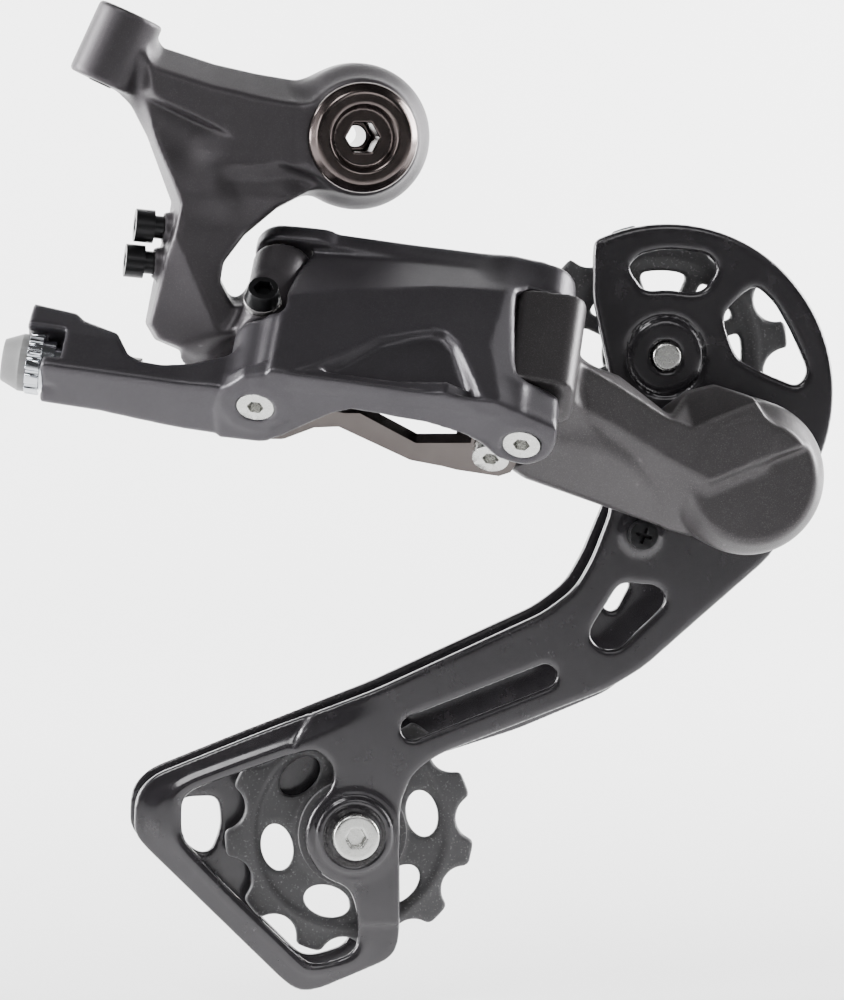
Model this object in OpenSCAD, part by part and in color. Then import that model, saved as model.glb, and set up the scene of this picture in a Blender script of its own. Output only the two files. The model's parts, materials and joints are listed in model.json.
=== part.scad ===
// Rear bicycle derailleur, long cage, 11-tooth pulleys, slanted parallelogram.
// +X runs forward, +Z up and +Y inboard, towards the wheel. The origin is on the
// hanger bolt's axis, in the face that seats on the frame hanger.

/* [Hanger bolt and upper knuckle] */
// Radius of the thread that screws into the frame hanger
bolt_thread_r = 5; // [4.9:0.1:5.2]
// Length of the thread beyond the seating face
bolt_thread_len = 9; // [7:0.5:10]
// Radius of the bolt's shank, which the upper knuckle turns on
shank_r = 5.6; // [5.4:0.1:5.8]
// Radius of the hanger bolt's head
bolt_head_r = 9.3; // [8.8:0.1:9.6]
// Outer radius of the knuckle's boss round the bolt
boss_r = 12.4; // [12:0.1:13]
// Depth of the boss in front of the hanger
boss_depth = 13.5; // [13:0.1:14]

/* [Parallelogram] */
// Slant of the pivot pins out of the vertical plane, in degrees
link_slant = 44; // [43:0.5:45]
// Roll of the pivot pins about the inboard axis, in degrees
link_roll = 18; // [17.5:0.25:18.5]
// Angle of the resting links in their own plane, in degrees
link_rest = 14.2; // [13.5:0.1:15]
// Distance between the rear and the front pivot pin
link_len = 44.5; // [44:0.1:45]
// Radius of a pivot pin
pin_r = 2.5; // [2.3:0.05:2.6]
// Running clearance between a pin and its bush, on the radius
pin_gap = 0.05; // [0.02:0.01:0.1]

/* [Cage] */
// Radius of the lower knuckle's spring housing
housing_r = 13.3; // [13:0.1:13.6]
// Thickness of a cage plate
plate_t = 2; // [1.8:0.1:2.2]
// Clear gap between the two cage plates
plate_gap = 9; // [8.8:0.1:9.4]
// Radius of the axle that the cage turns on
axle_r = 5; // [4.8:0.1:5.2]

/* [Pulleys] */
// Number of teeth of both pulleys
teeth = 11; // [11:1:11]
// Pitch of the chain
chain_pitch = 12.7; // [12.7:0.1:12.7]
// Radius of a chain roller with its clearance
roller_r = 3.95; // [3.9:0.01:4]
// Tip radius of the guide pulley
guide_tip_r = 22.7; // [22.2:0.1:22.8]
// Tip radius of the tension pulley
tension_tip_r = 21.7; // [21.4:0.1:22]
// Thickness of the teeth
tooth_t = 2.2; // [2:0.1:2.4]
// Outer radius of the pulley bushes
bush_r = 4; // [3.8:0.1:4.2]
// Radius of the M5 pulley bolts
bolt_r = 2.45; // [2.4:0.01:2.5]

/* [Hidden] */
$fn = 64;
hull_fn = 32;
lap = 0.01;

// Places in the XZ plane
cage_axis = [66, -58];
guide_at = [54, -38];
tension_at = [0, -120];
stop_screw_at = [49.8, -68.6];

// Outer end of the outer link's rear pin, and the inner link's offset from it
link_origin = [-20, -30, -44];
inner_offset = [-5, 14];
rear_outer = [0, 0];
front_outer = [link_len, 0];
rear_inner = inner_offset;
front_inner = front_outer + inner_offset;

// Levels across the cage, along Y
outer_face = -0.5;
outer_front = outer_face - plate_t;
inner_face = outer_face + plate_gap;
inner_back = inner_face + plate_t;
pulley_mid = outer_face + plate_gap / 2;

// Levels of the lower knuckle's housing, along Y
housing_front = -21;
housing_back = outer_front - 0.7;
spring_room_front = -16.5;
axle_front = -18.5;

// Levels along the outer link's pins
rear_lug_top = 15.2;
front_lug_top = 8.6;
outer_lug_gap = 0.4;
rear_eye_top = 33.2;
front_eye_top = 29.6;
front_eye_r = 5.4;
link_top = 37.6;

// Levels along the inner link's pins
inner_low = 10.8;
inner_plate_t = 2.2;
inner_web_t = 1.8;
inner_eye_low = inner_low + inner_plate_t + 0.4;
inner_eye_top = 25.6;
inner_high = inner_eye_top + 0.4;
inner_pin_low = inner_low - 0.6;
inner_pin_top = inner_high + inner_plate_t + 0.6;

// Bush walls of the four pivots
pivot_bush_r = pin_r + 0.9;
eye_r = 5;
web_low = 16.4;
spring_at = [5.7, 9, 17];

// Barrel adjuster, along the outer link's tail
barrel_r = 3.4;
barrel_axis = [2.8, 5];
tail_end = -36.2;
tail_roof_end = -38.8;
tail_step = -22.6;
tail_low = 5;
ring_start = -38.8;
ring_end = -34.4;
ring_r = 5.1;
ring_inner_r = 4.2;
cap_end = -43;
cap_r = 4.8;

// Cable anchor: its seat and the length of its short shank, along the links' Y
anchor_seat = -5.8;
anchor_shank = 2.2;

// Recess, socket and through hole of the hanger bolt
bolt_recess_r = 5;
bolt_hex = 5;
bolt_hole_r = 1.8;
cable_bore_r = 2.55;
cable_wire_r = 0.9;

// ---- shared shapes ----

// An XZ outline as a slab between two levels of Y
module slab(y0, y1) {
  translate([0, y1, 0]) rotate([90, 0, 0]) linear_extrude(height = y1 - y0) children();
}

// A rod along Y at a place in the XZ plane
module rod(at, y0, y1, r) {
  translate([at.x, y1, at.y]) rotate([90, 0, 0]) cylinder(h = y1 - y0, r = r);
}

// A rod along Y that changes radius from r0 at y0 to r1 at y1
module taper_rod(at, y0, y1, r0, r1) {
  translate([at.x, y0, at.y]) rotate([-90, 0, 0]) cylinder(h = y1 - y0, r1 = r0, r2 = r1);
}

// A hex socket along Y, open towards -Y
module hex_socket(at, y0, y1, flats) {
  translate([at.x, y1, at.y]) rotate([90, 0, 0])
    cylinder(h = y1 - y0, r = flats / 2 / cos(30), $fn = 6);
}

// The frame of the links: Z along the pins, X along the resting outer link
module in_links() {
  translate(link_origin)
    rotate([0, link_roll, 0]) rotate([-link_slant, 0, 0]) rotate([0, 0, -link_rest])
      children();
}

// A post along a pin
module post(at, z0, z1, r) {
  translate([at.x, at.y, z0]) cylinder(h = z1 - z0, r = r);
}

// A rod along the outer link's tail, at the barrel adjuster's axis
module tail_rod(x0, x1, r) {
  translate([x0, barrel_axis.x, barrel_axis.y]) rotate([0, 90, 0]) cylinder(h = x1 - x0, r = r);
}

// A round wire wound into a spring round the Z axis
module coil(mean_r, wire_r, turns, height) {
  sides = 6;
  steps = ceil(turns * 14);
  function ring(i) = let (a = 360 * turns * i / steps, z = height * i / steps)
    [for (k = [0 : sides - 1]) let (b = 360 * k / sides, r = mean_r + wire_r * cos(b))
      [r * cos(a), r * sin(a), z + wire_r * sin(b)]];
  points = [for (i = [0 : steps]) each ring(i)];
  walls = [for (i = [0 : steps - 1], k = [0 : sides - 1]) let (n = (k + 1) % sides)
    [i * sides + k, i * sides + n, (i + 1) * sides + n, (i + 1) * sides + k]];
  polyhedron(points, concat([for (f = walls) [f[3], f[2], f[1], f[0]]],
    [[for (k = [0 : sides - 1]) k]], [[for (k = [sides - 1 : -1 : 0]) steps * sides + k]]));
}

// ---- hanger bolt group ----

module hanger_bolt() color("#2b2829") difference() {
  union() {
    taper_rod([0, 0], -17, -16.2, bolt_head_r - 1.1, bolt_head_r);
    rod([0, 0], -16.2, -boss_depth - 0.3, bolt_head_r);
    rod([0, 0], -boss_depth - 0.3 - lap, 0, shank_r);
    rod([0, 0], -lap, bolt_thread_len, bolt_thread_r);
  }
  rod([0, 0], -17.5, -14, bolt_recess_r);
  hex_socket([0, 0], -14.5, -8, bolt_hex);
  rod([0, 0], -9, bolt_thread_len + 1, bolt_hole_r);
}

module stop_washer() color("#4a4748") difference() {
  union() {
    rod([0, 0], -1.2, 0, 11.6);
    slab(-1.2, 0) translate([-14, -3]) square([8, 6]);
  }
  rod([0, 0], -2, 1, shank_r);
}

module bolt_bushing() color("#8d8b88") difference() {
  rod([0, 0], -boss_depth, -1.6, shank_r + 1.2);
  rod([0, 0], -boss_depth - 1, 0, shank_r + pin_gap);
}

module bolt_seal() color("#1c1c1c") difference() {
  rod([0, 0], -2.6, -1.4, 10.4);
  rod([0, 0], -3, -1, 8.6);
}

// ---- upper (B) knuckle ----

b_boss_top = [-38.2, 20.8];
b_boss_low = [-43.6, 9.2];
limit_high_at = [-33.1, -15.2];
limit_low_at = [-34.8, -21.1];
limit_y = -9;
limit_screw_r = 1.95;
set_screw_r = 2;
anchor_at = [-1.8, -5.6, 19];

// A rod in the XZ plane between two places, at a level of Y
module cross_rod(from, to, y, r) {
  run = to - from;
  translate([from.x, y, from.y]) rotate([0, atan2(run.x, run.y), 0])
    cylinder(h = norm(run), r = r);
}

// A limit screw's axis runs nearly along -X
module limit_axis(at) {
  translate([at.x, limit_y, at.y]) rotate([0, -84, 0]) children();
}

module b_arm_outline() polygon([[-40, 16], [-35.5, 17.5], [-32.6, 15], [-22, 11.5], [-10, 9.8], [0, 12],
  [9, 5], [8, -6], [-2, -12], [-11, -10.6], [-16.4, -13.4], [-20, -17.5], [-22.8, -22.5],
  [-22.5, -25.5], [-17.5, -29.2], [-16.8, -31.4], [-22, -33.5], [-26.6, -36.6], [-34.7, -34],
  [-36, -31.5], [-34, -19.5], [-32.6, -9.7], [-35, 0], [-40, 7]]);

module b_knuckle() color("#3a393b") difference() {
  union() {
    rod([0, 0], -9.5, -1.4, boss_r);
    taper_rod([0, 0], -boss_depth, -9.5, 9.9, boss_r);
    // arm, thinner at the back than the boss
    difference() {
      slab(-12, -3) b_arm_outline();
      slab(-13, -2) translate([-60, -60]) square([100, 46]);
    }
    // lower body
    difference() {
      slab(-15.2, -4.6) b_arm_outline();
      slab(-16, -4) translate([-60, -12.5]) square([100, 60]);
    }
    cross_rod(b_boss_top, b_boss_low, -8, 5.7);
    in_links() {
      post(rear_outer, rear_lug_top + outer_lug_gap, rear_eye_top, eye_r);
      post(rear_inner, inner_eye_low, inner_eye_top, eye_r - 0.2);
      translate([0, 0, web_low]) linear_extrude(height = inner_eye_top - web_low) hull() {
        circle(r = 4.6, $fn = hull_fn);
        translate(rear_inner) circle(r = 4.4, $fn = hull_fn);
        translate([-15, 5]) circle(r = 4.4, $fn = hull_fn);
      }
      translate([anchor_at.x, -4.6, anchor_at.z]) rotate([-90, 0, 0]) cylinder(h = 8, r = 3);
    }
    for (at = [limit_high_at, limit_low_at]) limit_axis(at) translate([0, 0, -8]) cylinder(h = 8.5, r = 3.2);
  }
  rod([0, 0], -boss_depth - 1, 0, shank_r + 1.2);
  rod([0, 0], -2.6, -1, 10.4);
  cross_rod(b_boss_top + [1, 2], b_boss_low - [1, 2], -8, set_screw_r + 0.2);
  for (at = [limit_high_at, limit_low_at]) limit_axis(at) translate([0, 0, -12]) cylinder(h = 14, r = limit_screw_r + 0.2);
  in_links() {
    post(rear_outer, 10, 40, pivot_bush_r);
    post(rear_inner, 5, 35, pivot_bush_r);
    // room for the outer link's two lugs
    post(rear_outer, -5, rear_lug_top + outer_lug_gap, eye_r + 1.2);
    post(rear_outer, rear_eye_top, 45, eye_r + 1.2);
    // room for the inner link's two lugs
    post(rear_inner, 0, inner_eye_low, eye_r + 1);
    post(rear_inner, inner_eye_top, 40, eye_r + 1);
    translate([anchor_at.x, -6, anchor_at.z]) rotate([-90, 0, 0]) cylinder(h = 8.4, r = 1.7);
    // seat of the cable clamp
    translate([anchor_at.x, -9, anchor_at.z]) rotate([-90, 0, 0]) cylinder(h = 4.4, r = 4);
  }
}

module b_tension_screw() color("#1e1e1f") difference() {
  cross_rod(b_boss_top - [0.8, 1.8], b_boss_low - [0.1, 0.2], -8, set_screw_r);
  translate([b_boss_low.x, -8, b_boss_low.y]) rotate([0, 24.6, 0])
    cylinder(h = 3, r = 1.25 / cos(30), $fn = 6);
}

module limit_screw(at, out) {
  limit_axis(at) difference() {
    union() {
      translate([0, 0, -10]) cylinder(h = 10.2 + out, r = limit_screw_r);
      translate([0, 0, 0.2 + out]) cylinder(h = 3.2, r = 2.8);
    }
    translate([0, 0, 1.6 + out]) cylinder(h = 3, r = 1.25 / cos(30), $fn = 6);
  }
}

module limit_screw_high() color("#1a1a1b") limit_screw(limit_high_at, 1.5);

module limit_screw_low() color("#1a1a1b") limit_screw(limit_low_at, 1.5);

module bush(at, z0, z1) difference() {
  post(at, z0, z1, pivot_bush_r);
  post(at, z0 - 1, z1 + 1, pin_r + pin_gap);
}

module rear_pivot_bushes() color("#a58a52") in_links() {
  bush(rear_outer, rear_lug_top + outer_lug_gap, rear_eye_top);
  bush(rear_inner, inner_eye_low, inner_eye_top);
}

module cable_anchor_bolt() color("#161617") in_links() translate([anchor_at.x, 0, anchor_at.z])
  rotate([-90, 0, 0]) difference() {
    union() {
      translate([0, 0, anchor_seat]) cylinder(h = anchor_shank, r = 1.5);
      translate([0, 0, anchor_seat - 2.6]) cylinder(h = 2.6, r1 = 2.5, r2 = 3.1);
    }
    translate([0, 0, -9]) cylinder(h = 2.2, r = 1.5 / cos(30), $fn = 6);
  }

module cable_anchor_washer() color("#77787a") in_links() translate([anchor_at.x, 0, anchor_at.z])
  rotate([-90, 0, 0]) difference() {
    translate([0, 0, -5.8]) cylinder(h = 1.2, r = 3.2);
    translate([0, 0, -7]) cylinder(h = 4, r = 1.5);
  }

// ---- outer link ----

// The bottom flange, seen along the pins
module flange_outline() polygon([[-8, -2.2], [-5.4, -3], [-1.5, -7.2], [6, -8.8], [30, -9.2], [37, -7.8],
  [43, -5.6], [48.6, -3], [49.6, 0.6], [47.6, 4], [44, 5], [40, 4.2], [34, 1], [30, -2], [15, -2],
  [10.5, 1.6], [4.4, 6.8], [-8, 8.4]]);

// The outer wall: it leans inboard above a crease and turns into the top flange
module wall_section() polygon([[-9, 0], [-9.2, 3], [-8, 21], [-4.4, link_top], [4, link_top],
  [4, link_top - 3.6], [-2.6, link_top - 3.8], [-5.2, 20], [-6, 3], [-4, 0]]);

module tail_section() polygon([[-2.6, 0.4], [-2.4, 9], [-1, 13.4], [5.4, 13.4], [8.4, 9], [8.8, 1.6], [7.6, 0],
  [-1.8, 0]]);

// The tail seen from outside: high roof over the ring, a step, then the low run to the rear lug
module tail_outline() polygon([[tail_roof_end, 8.6], [tail_roof_end, 14], [-31.5, 13.2], [-30.3, 12], [-24.6, 10.2],
  [-23.4, 8], [-22.2, 5.8], [tail_step + 2.4, tail_low - 0.4], [-2, tail_low - 0.4], [-2, 0], [tail_end, 0],
  [tail_end, 8.6]]);

module outer_link() color("#3d3c40") in_links() difference() {
  union() {
    linear_extrude(height = 3) flange_outline();
    translate([2.5, 0, 0]) rotate([90, 0, 90]) linear_extrude(height = 38.5) wall_section();
    post(rear_outer, 0, rear_lug_top, eye_r + 0.4);
    post(front_outer, 0, front_lug_top, eye_r + 0.2);
    // top flange round both pins
    translate([0, 0, link_top - 3.6]) linear_extrude(height = 3.6) hull() {
      circle(r = eye_r, $fn = hull_fn);
      translate([6, -1]) circle(r = eye_r, $fn = hull_fn);
    }
    translate([0, 0, front_eye_top + outer_lug_gap]) linear_extrude(height = link_top - 0.8 - front_eye_top) hull() {
      translate(front_outer) circle(r = eye_r, $fn = hull_fn);
      translate([38, -1.4]) circle(r = eye_r, $fn = hull_fn);
    }
    // rear column joins the wall
    translate([0, -6.6, 0]) cube([5, 4, rear_lug_top]);
    // lower front lug joins the wall
    translate([36, -7.2, 0]) cube([6, 6, front_lug_top - 2]);
    // tail arm: tall round the barrel adjuster, low past the cable's notch
    intersection() {
      translate([tail_roof_end, 0, 0]) rotate([90, 0, 90]) linear_extrude(height = -tail_roof_end) tail_section();
      translate([0, 10, 0]) rotate([90, 0, 0]) linear_extrude(height = 14) tail_outline();
    }
  }
  // recessed triangle in the outer face
  rotate([90, 0, 0]) translate([0, 0, 7.4]) linear_extrude(height = 4)
    polygon([[6, 3.2], [17.8, 11], [22.6, 14.6], [27.4, 16.2], [31, 15.6], [33.4, 12.6], [36.6, 3.2]]);
  // room for the knuckles' eyes
  post(rear_outer, rear_lug_top, link_top - 3.6 - lap, eye_r + 0.8);
  post(front_outer, front_lug_top, front_eye_top + outer_lug_gap, front_eye_r + 0.6);
  post(rear_outer, -1, link_top + 1, pin_r);
  post(front_outer, -1, link_top + 1, pin_r);
  for (at = [rear_outer, front_outer]) post(at, -1, 2.2, 3.1);
  // barrel adjuster's bore, its window and the cable's way out
  tail_rod(tail_end - 2, -20, barrel_r + 0.05);
  tail_rod(tail_roof_end - 1, ring_end + 0.4, ring_inner_r + 0.2);
  tail_rod(tail_roof_end - 1, tail_end + lap, ring_r + 0.3);
  tail_rod(-21, tail_step + 2, 1.4);
  translate([tail_roof_end - 1, -4, 2.8]) cube([6, 5, 6.6]);
  translate([tail_step - lap, 0.4, 2]) cube([9, 4.6, tail_low]);
}

module pivot_pin(at, z0, z1) color("#d6d6d4") in_links() difference() {
  union() {
    post(at, z0 + 2.4, z1, pin_r);
    post(at, z0, z0 + 2.4 + lap, 3.1);
  }
  translate([at.x, at.y, z0 - 1]) cylinder(h = 3, r = 1.25 / cos(30), $fn = 6);
}

module outer_rear_pin() pivot_pin(rear_outer, -0.2, link_top - 0.4);

module outer_front_pin() pivot_pin(front_outer, -0.2, link_top - 0.8);

module adjuster_nut() color("#3a3a3c") in_links() difference() {
  tail_rod(-20 - 2.6, -20, barrel_r + 0.05);
  tail_rod(-24, -19, 2.2);
}

// ---- barrel adjuster ----

module barrel_adjuster() color("#c9cbce") in_links() difference() {
  union() {
    tail_rod(ring_start, tail_end - 0.3, ring_r);
    tail_rod(tail_end - 0.3 - lap, ring_end, ring_inner_r);
    tail_rod(ring_end - lap, -27.5, barrel_r - 0.05);
  }
  tail_rod(-40, -30, cable_bore_r);
  tail_rod(-31, -26, cable_wire_r);
  // detent notches round the ring
  for (a = [0 : 30 : 330]) translate([-40, barrel_axis.x, barrel_axis.y]) rotate([a, 0, 0])
    translate([0, 0, ring_r + 0.2]) rotate([0, 90, 0]) cylinder(h = 8, r = 0.6, $fn = 16);
}

module adjuster_spring() color("#b9babc") in_links()
  translate([-27.3, barrel_axis.x, barrel_axis.y]) rotate([0, 90, 0]) translate([0, 0, 0.4])
    coil(2.6, 0.35, 4, 3.4);

module adjuster_cap() color("#9c9c9d") in_links() difference() {
  union() {
    translate([cap_end, barrel_axis.x, barrel_axis.y]) rotate([0, 90, 0]) cylinder(h = 3, r1 = 3.5, r2 = cap_r);
    tail_rod(cap_end + 3 - lap, ring_start, cap_r);
  }
  tail_rod(-45, -38, cable_bore_r);
}

// ---- inner link ----

// The lower flange, seen along the pins: a strip that dips inboard between its two eyes
module inner_link_outline() polygon([[-9.4, 12.4], [-5, 9.6], [10.8, 10.5], [14.3, 10.6], [16.7, 10.1],
  [26.6, 15.6], [35.8, 13.6], [36, 10.6], [39, 9.4], [43.4, 11.6], [44.2, 16], [43.1, 19.6], [41.2, 21],
  [34, 20.9], [31.6, 20.5], [26.2, 20.1], [13.5, 14.2], [9, 15.4], [4, 19.4], [-2, 20.6], [-8, 18.6]]);

// The web's centre line follows the strip's inboard edge
module inner_web_outline() for (leg = [[[-2, 19.7], [4, 18.4]], [[4, 18.4], [9, 14.4]], [[9, 14.4], [13.5, 13.3]],
  [[13.5, 13.3], [26.2, 19.2]], [[26.2, 19.2], [31.6, 19.6]], [[31.6, 19.6], [34, 20]],
  [[34, 20], [40.6, 20.1]]])
  hull() {
    translate(leg[0]) circle(r = inner_web_t / 2, $fn = 16);
    translate(leg[1]) circle(r = inner_web_t / 2, $fn = 16);
  }

// The upper flange keeps clear of the swinging cage at its front end
module inner_cap_outline() polygon([[-9.4, 12.4], [-5, 9.4], [10.8, 10.5], [26, 12.6], [35.6, 10], [39.5, 9.2],
  [43, 11], [44.2, 14.4], [42, 18], [37.6, 18.8], [33, 19.6], [26.2, 20], [13.5, 14.2], [9, 15.4], [4, 19.4],
  [-2, 20.6], [-8, 18.6]]);

module inner_link() color("#57524d") in_links() difference() {
  union() {
    translate([0, 0, inner_low]) linear_extrude(height = inner_plate_t) inner_link_outline();
    translate([0, 0, inner_high]) linear_extrude(height = inner_plate_t) inner_cap_outline();
    translate([0, 0, inner_low]) linear_extrude(height = inner_high + inner_plate_t - inner_low) inner_web_outline();
  }
  for (at = [rear_inner, front_inner]) post(at, inner_low - 1, inner_high + 5, pin_r);
  // lightening window in the web
  translate([17, 10, 15]) cube([16, 14, 8.6]);
  // the web's front end is cut down beside the cage
  translate([34, 18.4, 22]) cube([12, 6, 12]);
}

module inner_rear_pin() pivot_pin(rear_inner, inner_pin_low - 2, inner_pin_top);

module inner_front_pin() pivot_pin(front_inner, inner_pin_low - 2, inner_pin_top);

// ---- return spring between the links ----

module return_spring() color("#c4c6c8") in_links() translate([spring_at.x, spring_at.y, spring_at.z])
  coil(3, 0.6, 5, 8.4);

module spring_anchor() color("#161617") in_links() translate([spring_at.x - 2, spring_at.y - 2, spring_at.z - 2.8])
  cube([4, 4.4, 2.4]);

// ---- lower (P) knuckle ----

module p_knuckle() color("#3f3f42") difference() {
  union() {
    rod(cage_axis, housing_front + 2.4, housing_back, housing_r);
    taper_rod(cage_axis, housing_front, housing_front + 2.4, housing_r - 2.2, housing_r);
    // arm from the pivot to the housing
    slab(-22, -9) polygon([[30, -40], [36, -38.5], [42, -41], [51.5, -47], [61, -43], [66, -45],
      [60, -68], [52, -66.4], [41.6, -62.9], [28, -57.5], [24.5, -54.5]]);
    // toe that stops the cage
    slab(-12, -4) polygon([[56, -58], [62, -68], [52.6, -66.6], [51.8, -64.4]]);
    in_links() {
      post(front_outer, front_lug_top + outer_lug_gap, front_eye_top, front_eye_r);
      post(front_inner, inner_eye_low, inner_eye_top, eye_r - 0.2);
      translate([0, 0, web_low]) linear_extrude(height = inner_eye_top - web_low) hull() {
        translate(front_outer) circle(r = 4.6, $fn = hull_fn);
        translate(front_inner) circle(r = 4.4, $fn = hull_fn);
        translate([52, 12]) circle(r = 4, $fn = hull_fn);
      }
    }
  }
  rod(cage_axis, spring_room_front, 0, housing_r - 2.4);
  rod(cage_axis, axle_front - 0.3, -10, axle_r + 0.05);
  in_links() {
    post(front_outer, front_lug_top - 1, link_top, pivot_bush_r);
    post(front_inner, inner_eye_low - 1, inner_eye_top + 1, pivot_bush_r);
    post(front_outer, -6, front_lug_top + outer_lug_gap, eye_r + 1.2);
    post(front_outer, front_eye_top, 45, front_eye_r + 1.2);
    post(front_inner, -4, inner_eye_low, eye_r + 2.6);
    post(front_inner, inner_eye_top, 40, eye_r + 2.6);
  }
}

module front_pivot_bushes() color("#a58a52") in_links() {
  bush(front_outer, front_lug_top + outer_lug_gap, front_eye_top);
  bush(front_inner, inner_eye_low, inner_eye_top);
}

module cage_seal() color("#141414") difference() {
  rod(cage_axis, housing_back, housing_back + 0.4, housing_r - 0.4);
  rod(cage_axis, housing_back - 1, 0, housing_r - 2.4);
}

module cage_spring() color("#9b9c9e") translate([cage_axis.x, housing_back - 0.8, cage_axis.y]) rotate([90, 0, 0])
  coil(8.2, 0.9, 4, 10.6);

module cage_axle() color("#8f9092") union() {
  rod(cage_axis, axle_front, outer_face, axle_r);
  rod(cage_axis, outer_face, outer_face + 0.8, axle_r + 2);
}

// ---- cage plates ----

arc_at = [54.3, -44.6];
arc_r = 29.3;
tri_window = [[-29.6, -113.6], [-19.9, -109], [-10, -105.8], [-6.5, -105], [-3.6, -107.6], [-3.4, -111.4],
  [-7.6, -116], [-8.6, -120], [-7.6, -124.2], [-5.2, -127.4], [-0.8, -129], [0.6, -133], [0.8, -139],
  [-5.4, -142.4], [-8, -142.2], [-20.8, -129.6], [-29.6, -120]];

// A rounded slot through the plates between two places
module plate_slot(from, to, r) hull() {
  translate(from) circle(r = r, $fn = hull_fn);
  translate(to) circle(r = r, $fn = hull_fn);
}

// An arc of points on the head of the plate
function arc(from, to, steps) = [for (i = [0 : steps]) let (a = from + (to - from) * i / steps)
  arc_at + arc_r * [cos(a), sin(a)]];

// Outline of a plate: the head round the guide pulley, the arm and the lower triangle
function plate_outline() = concat([[44.2, -41], [41.4, -28]], arc(116, -26, 20),
  [[78, -65.4], [72, -73.4], [60, -83.6], [50.5, -91.8], [44.2, -95.5], [28.8, -101.2], [14.5, -106.4], [10.2, -109.6],
   [8, -114.4], [8, -138], [6.8, -141.6], [-6.2, -147], [-9.4, -147.2], [-12, -145.4],
   [-36.4, -121], [-37.8, -118.6], [-37.4, -112.4], [-34.4, -109.2], [-18, -102.9], [4, -94.8],
   [33, -82], [38.4, -78], [41.4, -72.8], [44.6, -64.6]]);

module outer_cage_plate() color("#17181a") difference() {
  union() {
    slab(outer_front, outer_face) polygon(plate_outline());
    rod(guide_at, outer_front - 0.7, outer_front + lap, 6.5);
    rod(tension_at, outer_front - 0.8, outer_front + lap, 7.7);
    rod(stop_screw_at, outer_front - 0.6, outer_front + lap, 3.6);
  }
  slab(outer_front - 2, outer_face + 1) {
    polygon(tri_window);
    polygon([[47.4, -22.6], [49.6, -20.4], [54.6, -19.6], [61.4, -20.4], [63.4, -22.8], [61.4, -26.4],
      [59, -27.3], [54.2, -26.6], [50.4, -27]]);
    polygon([[64, -31], [68.4, -26.6], [70.2, -26.2], [73.2, -29], [76, -33.8], [79.2, -41], [77.4, -43.6],
      [72, -41.4], [66.6, -38.6], [65, -34.8]]);
    polygon([[46.2, -77], [52.8, -77.6], [54.3, -79.8], [53.6, -81.6], [46.2, -88.4], [43.8, -88.8],
      [41.4, -87.2], [41, -85.2]]);
    plate_slot([10.2, -101.6], [33.2, -93], 2);
  }
  rod(cage_axis, -5, 1, axle_r);
  rod(guide_at, -6, 1, bolt_r);
  rod(tension_at, -6, 1, bolt_r);
  rod(stop_screw_at, -6, 1, 1.5);
}

inner_rear_window = [[-28.6, -114.8], [-22.6, -114.6], [-22.2, -119.2], [-23.8, -123.6], [-25.8, -123.6],
  [-28.6, -121]];
inner_window = [[-16.4, -117.4], [-14.6, -115.7], [-8.4, -115.7], [-8.6, -120], [-7.6, -124.2], [-5.2, -127.4],
  [-0.8, -129], [0.6, -133], [0.8, -139], [-5.4, -142.4], [-8, -142.2], [-16.4, -133.8]];

module inner_cage_plate() color("#17181a") difference() {
  union() {
    slab(inner_face, inner_back) union() {
      // arm and lower triangle, a little wider than the outer plate
      polygon([[64, -62], [56, -52], [46, -62], [41.4, -72.8], [38.4, -78], [33, -82], [4, -94.8],
        [-18, -102.9], [-34.4, -109.2], [-37.4, -112.4], [-37.8, -118.6], [-36.4, -121], [-12, -145.4],
        [-9.4, -147.2], [-6.2, -147], [6.8, -141.6], [8, -138], [8, -114.4], [10.2, -109.6], [14, -108.4],
        [30, -103.6], [46, -97.2], [62, -84]]);
      // arm to the guide pulley's axle
      hull() {
        translate(guide_at) circle(r = 6.5, $fn = hull_fn);
        translate([58, -58]) circle(r = 9, $fn = hull_fn);
      }
    }
    rod(guide_at, inner_back - lap, inner_back + 0.8, 5.6);
    rod(tension_at, inner_back - lap, inner_back + 0.8, 6);
  }
  slab(inner_face - 1, inner_back + 2) {
    polygon(inner_rear_window);
    polygon(inner_window);
    plate_slot([10.2, -101.6], [33.2, -93], 2);
    plate_slot([46.5, -85], [50.5, -80.6], 3);
  }
  rod(guide_at, inner_face - 1, inner_back + 3, bolt_r);
  rod(tension_at, inner_face - 1, inner_back + 3, bolt_r);
  rod(stop_screw_at, inner_face - 1, inner_back + 3, 1.5);
}

module cage_stop_screw() color("#101011") difference() {
  union() {
    rod(stop_screw_at, outer_front - 3, outer_front - 0.6, 2.45);
    rod(stop_screw_at, outer_front - 0.7, outer_face, 1.5);
  }
  for (a = [20, 110]) translate([stop_screw_at.x, outer_front - 2.6, stop_screw_at.y]) rotate([0, a, 0])
    cube([2.9, 1.6, 0.6], center = true);
}

// ---- pulleys ----

pitch_r = chain_pitch / 2 / sin(180 / teeth);

// Toothed rim, turned so that a valley faces the angle
module toothed(tip_r, turn) {
  rotate(turn) difference() {
    circle(r = tip_r);
    for (i = [0 : teeth - 1]) rotate(i * 360 / teeth) translate([pitch_r, 0]) circle(r = roller_r);
  }
}

module pulley_hub(at) {
  difference() {
    rod(at, pulley_mid - 2.8, pulley_mid + 2.8, 8.2);
    rod(at, pulley_mid - 3, pulley_mid + 3, bush_r + 0.05);
  }
}

module guide_pulley() color("#1f1f21") union() {
  slab(pulley_mid - tooth_t / 2, pulley_mid + tooth_t / 2) translate(guide_at) difference() {
    toothed(guide_tip_r, 90);
    circle(r = 14.4);
  }
  slab(pulley_mid - 1.4, pulley_mid + 1.4) translate(guide_at) difference() {
    union() {
      difference() {
        circle(r = 17);
        circle(r = 14.4);
      }
      for (i = [0 : 7]) rotate(i * 45 + 20) translate([7, -1.3]) square([8.5, 2.6]);
    }
    circle(r = 7);
  }
  pulley_hub(guide_at);
}

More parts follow.
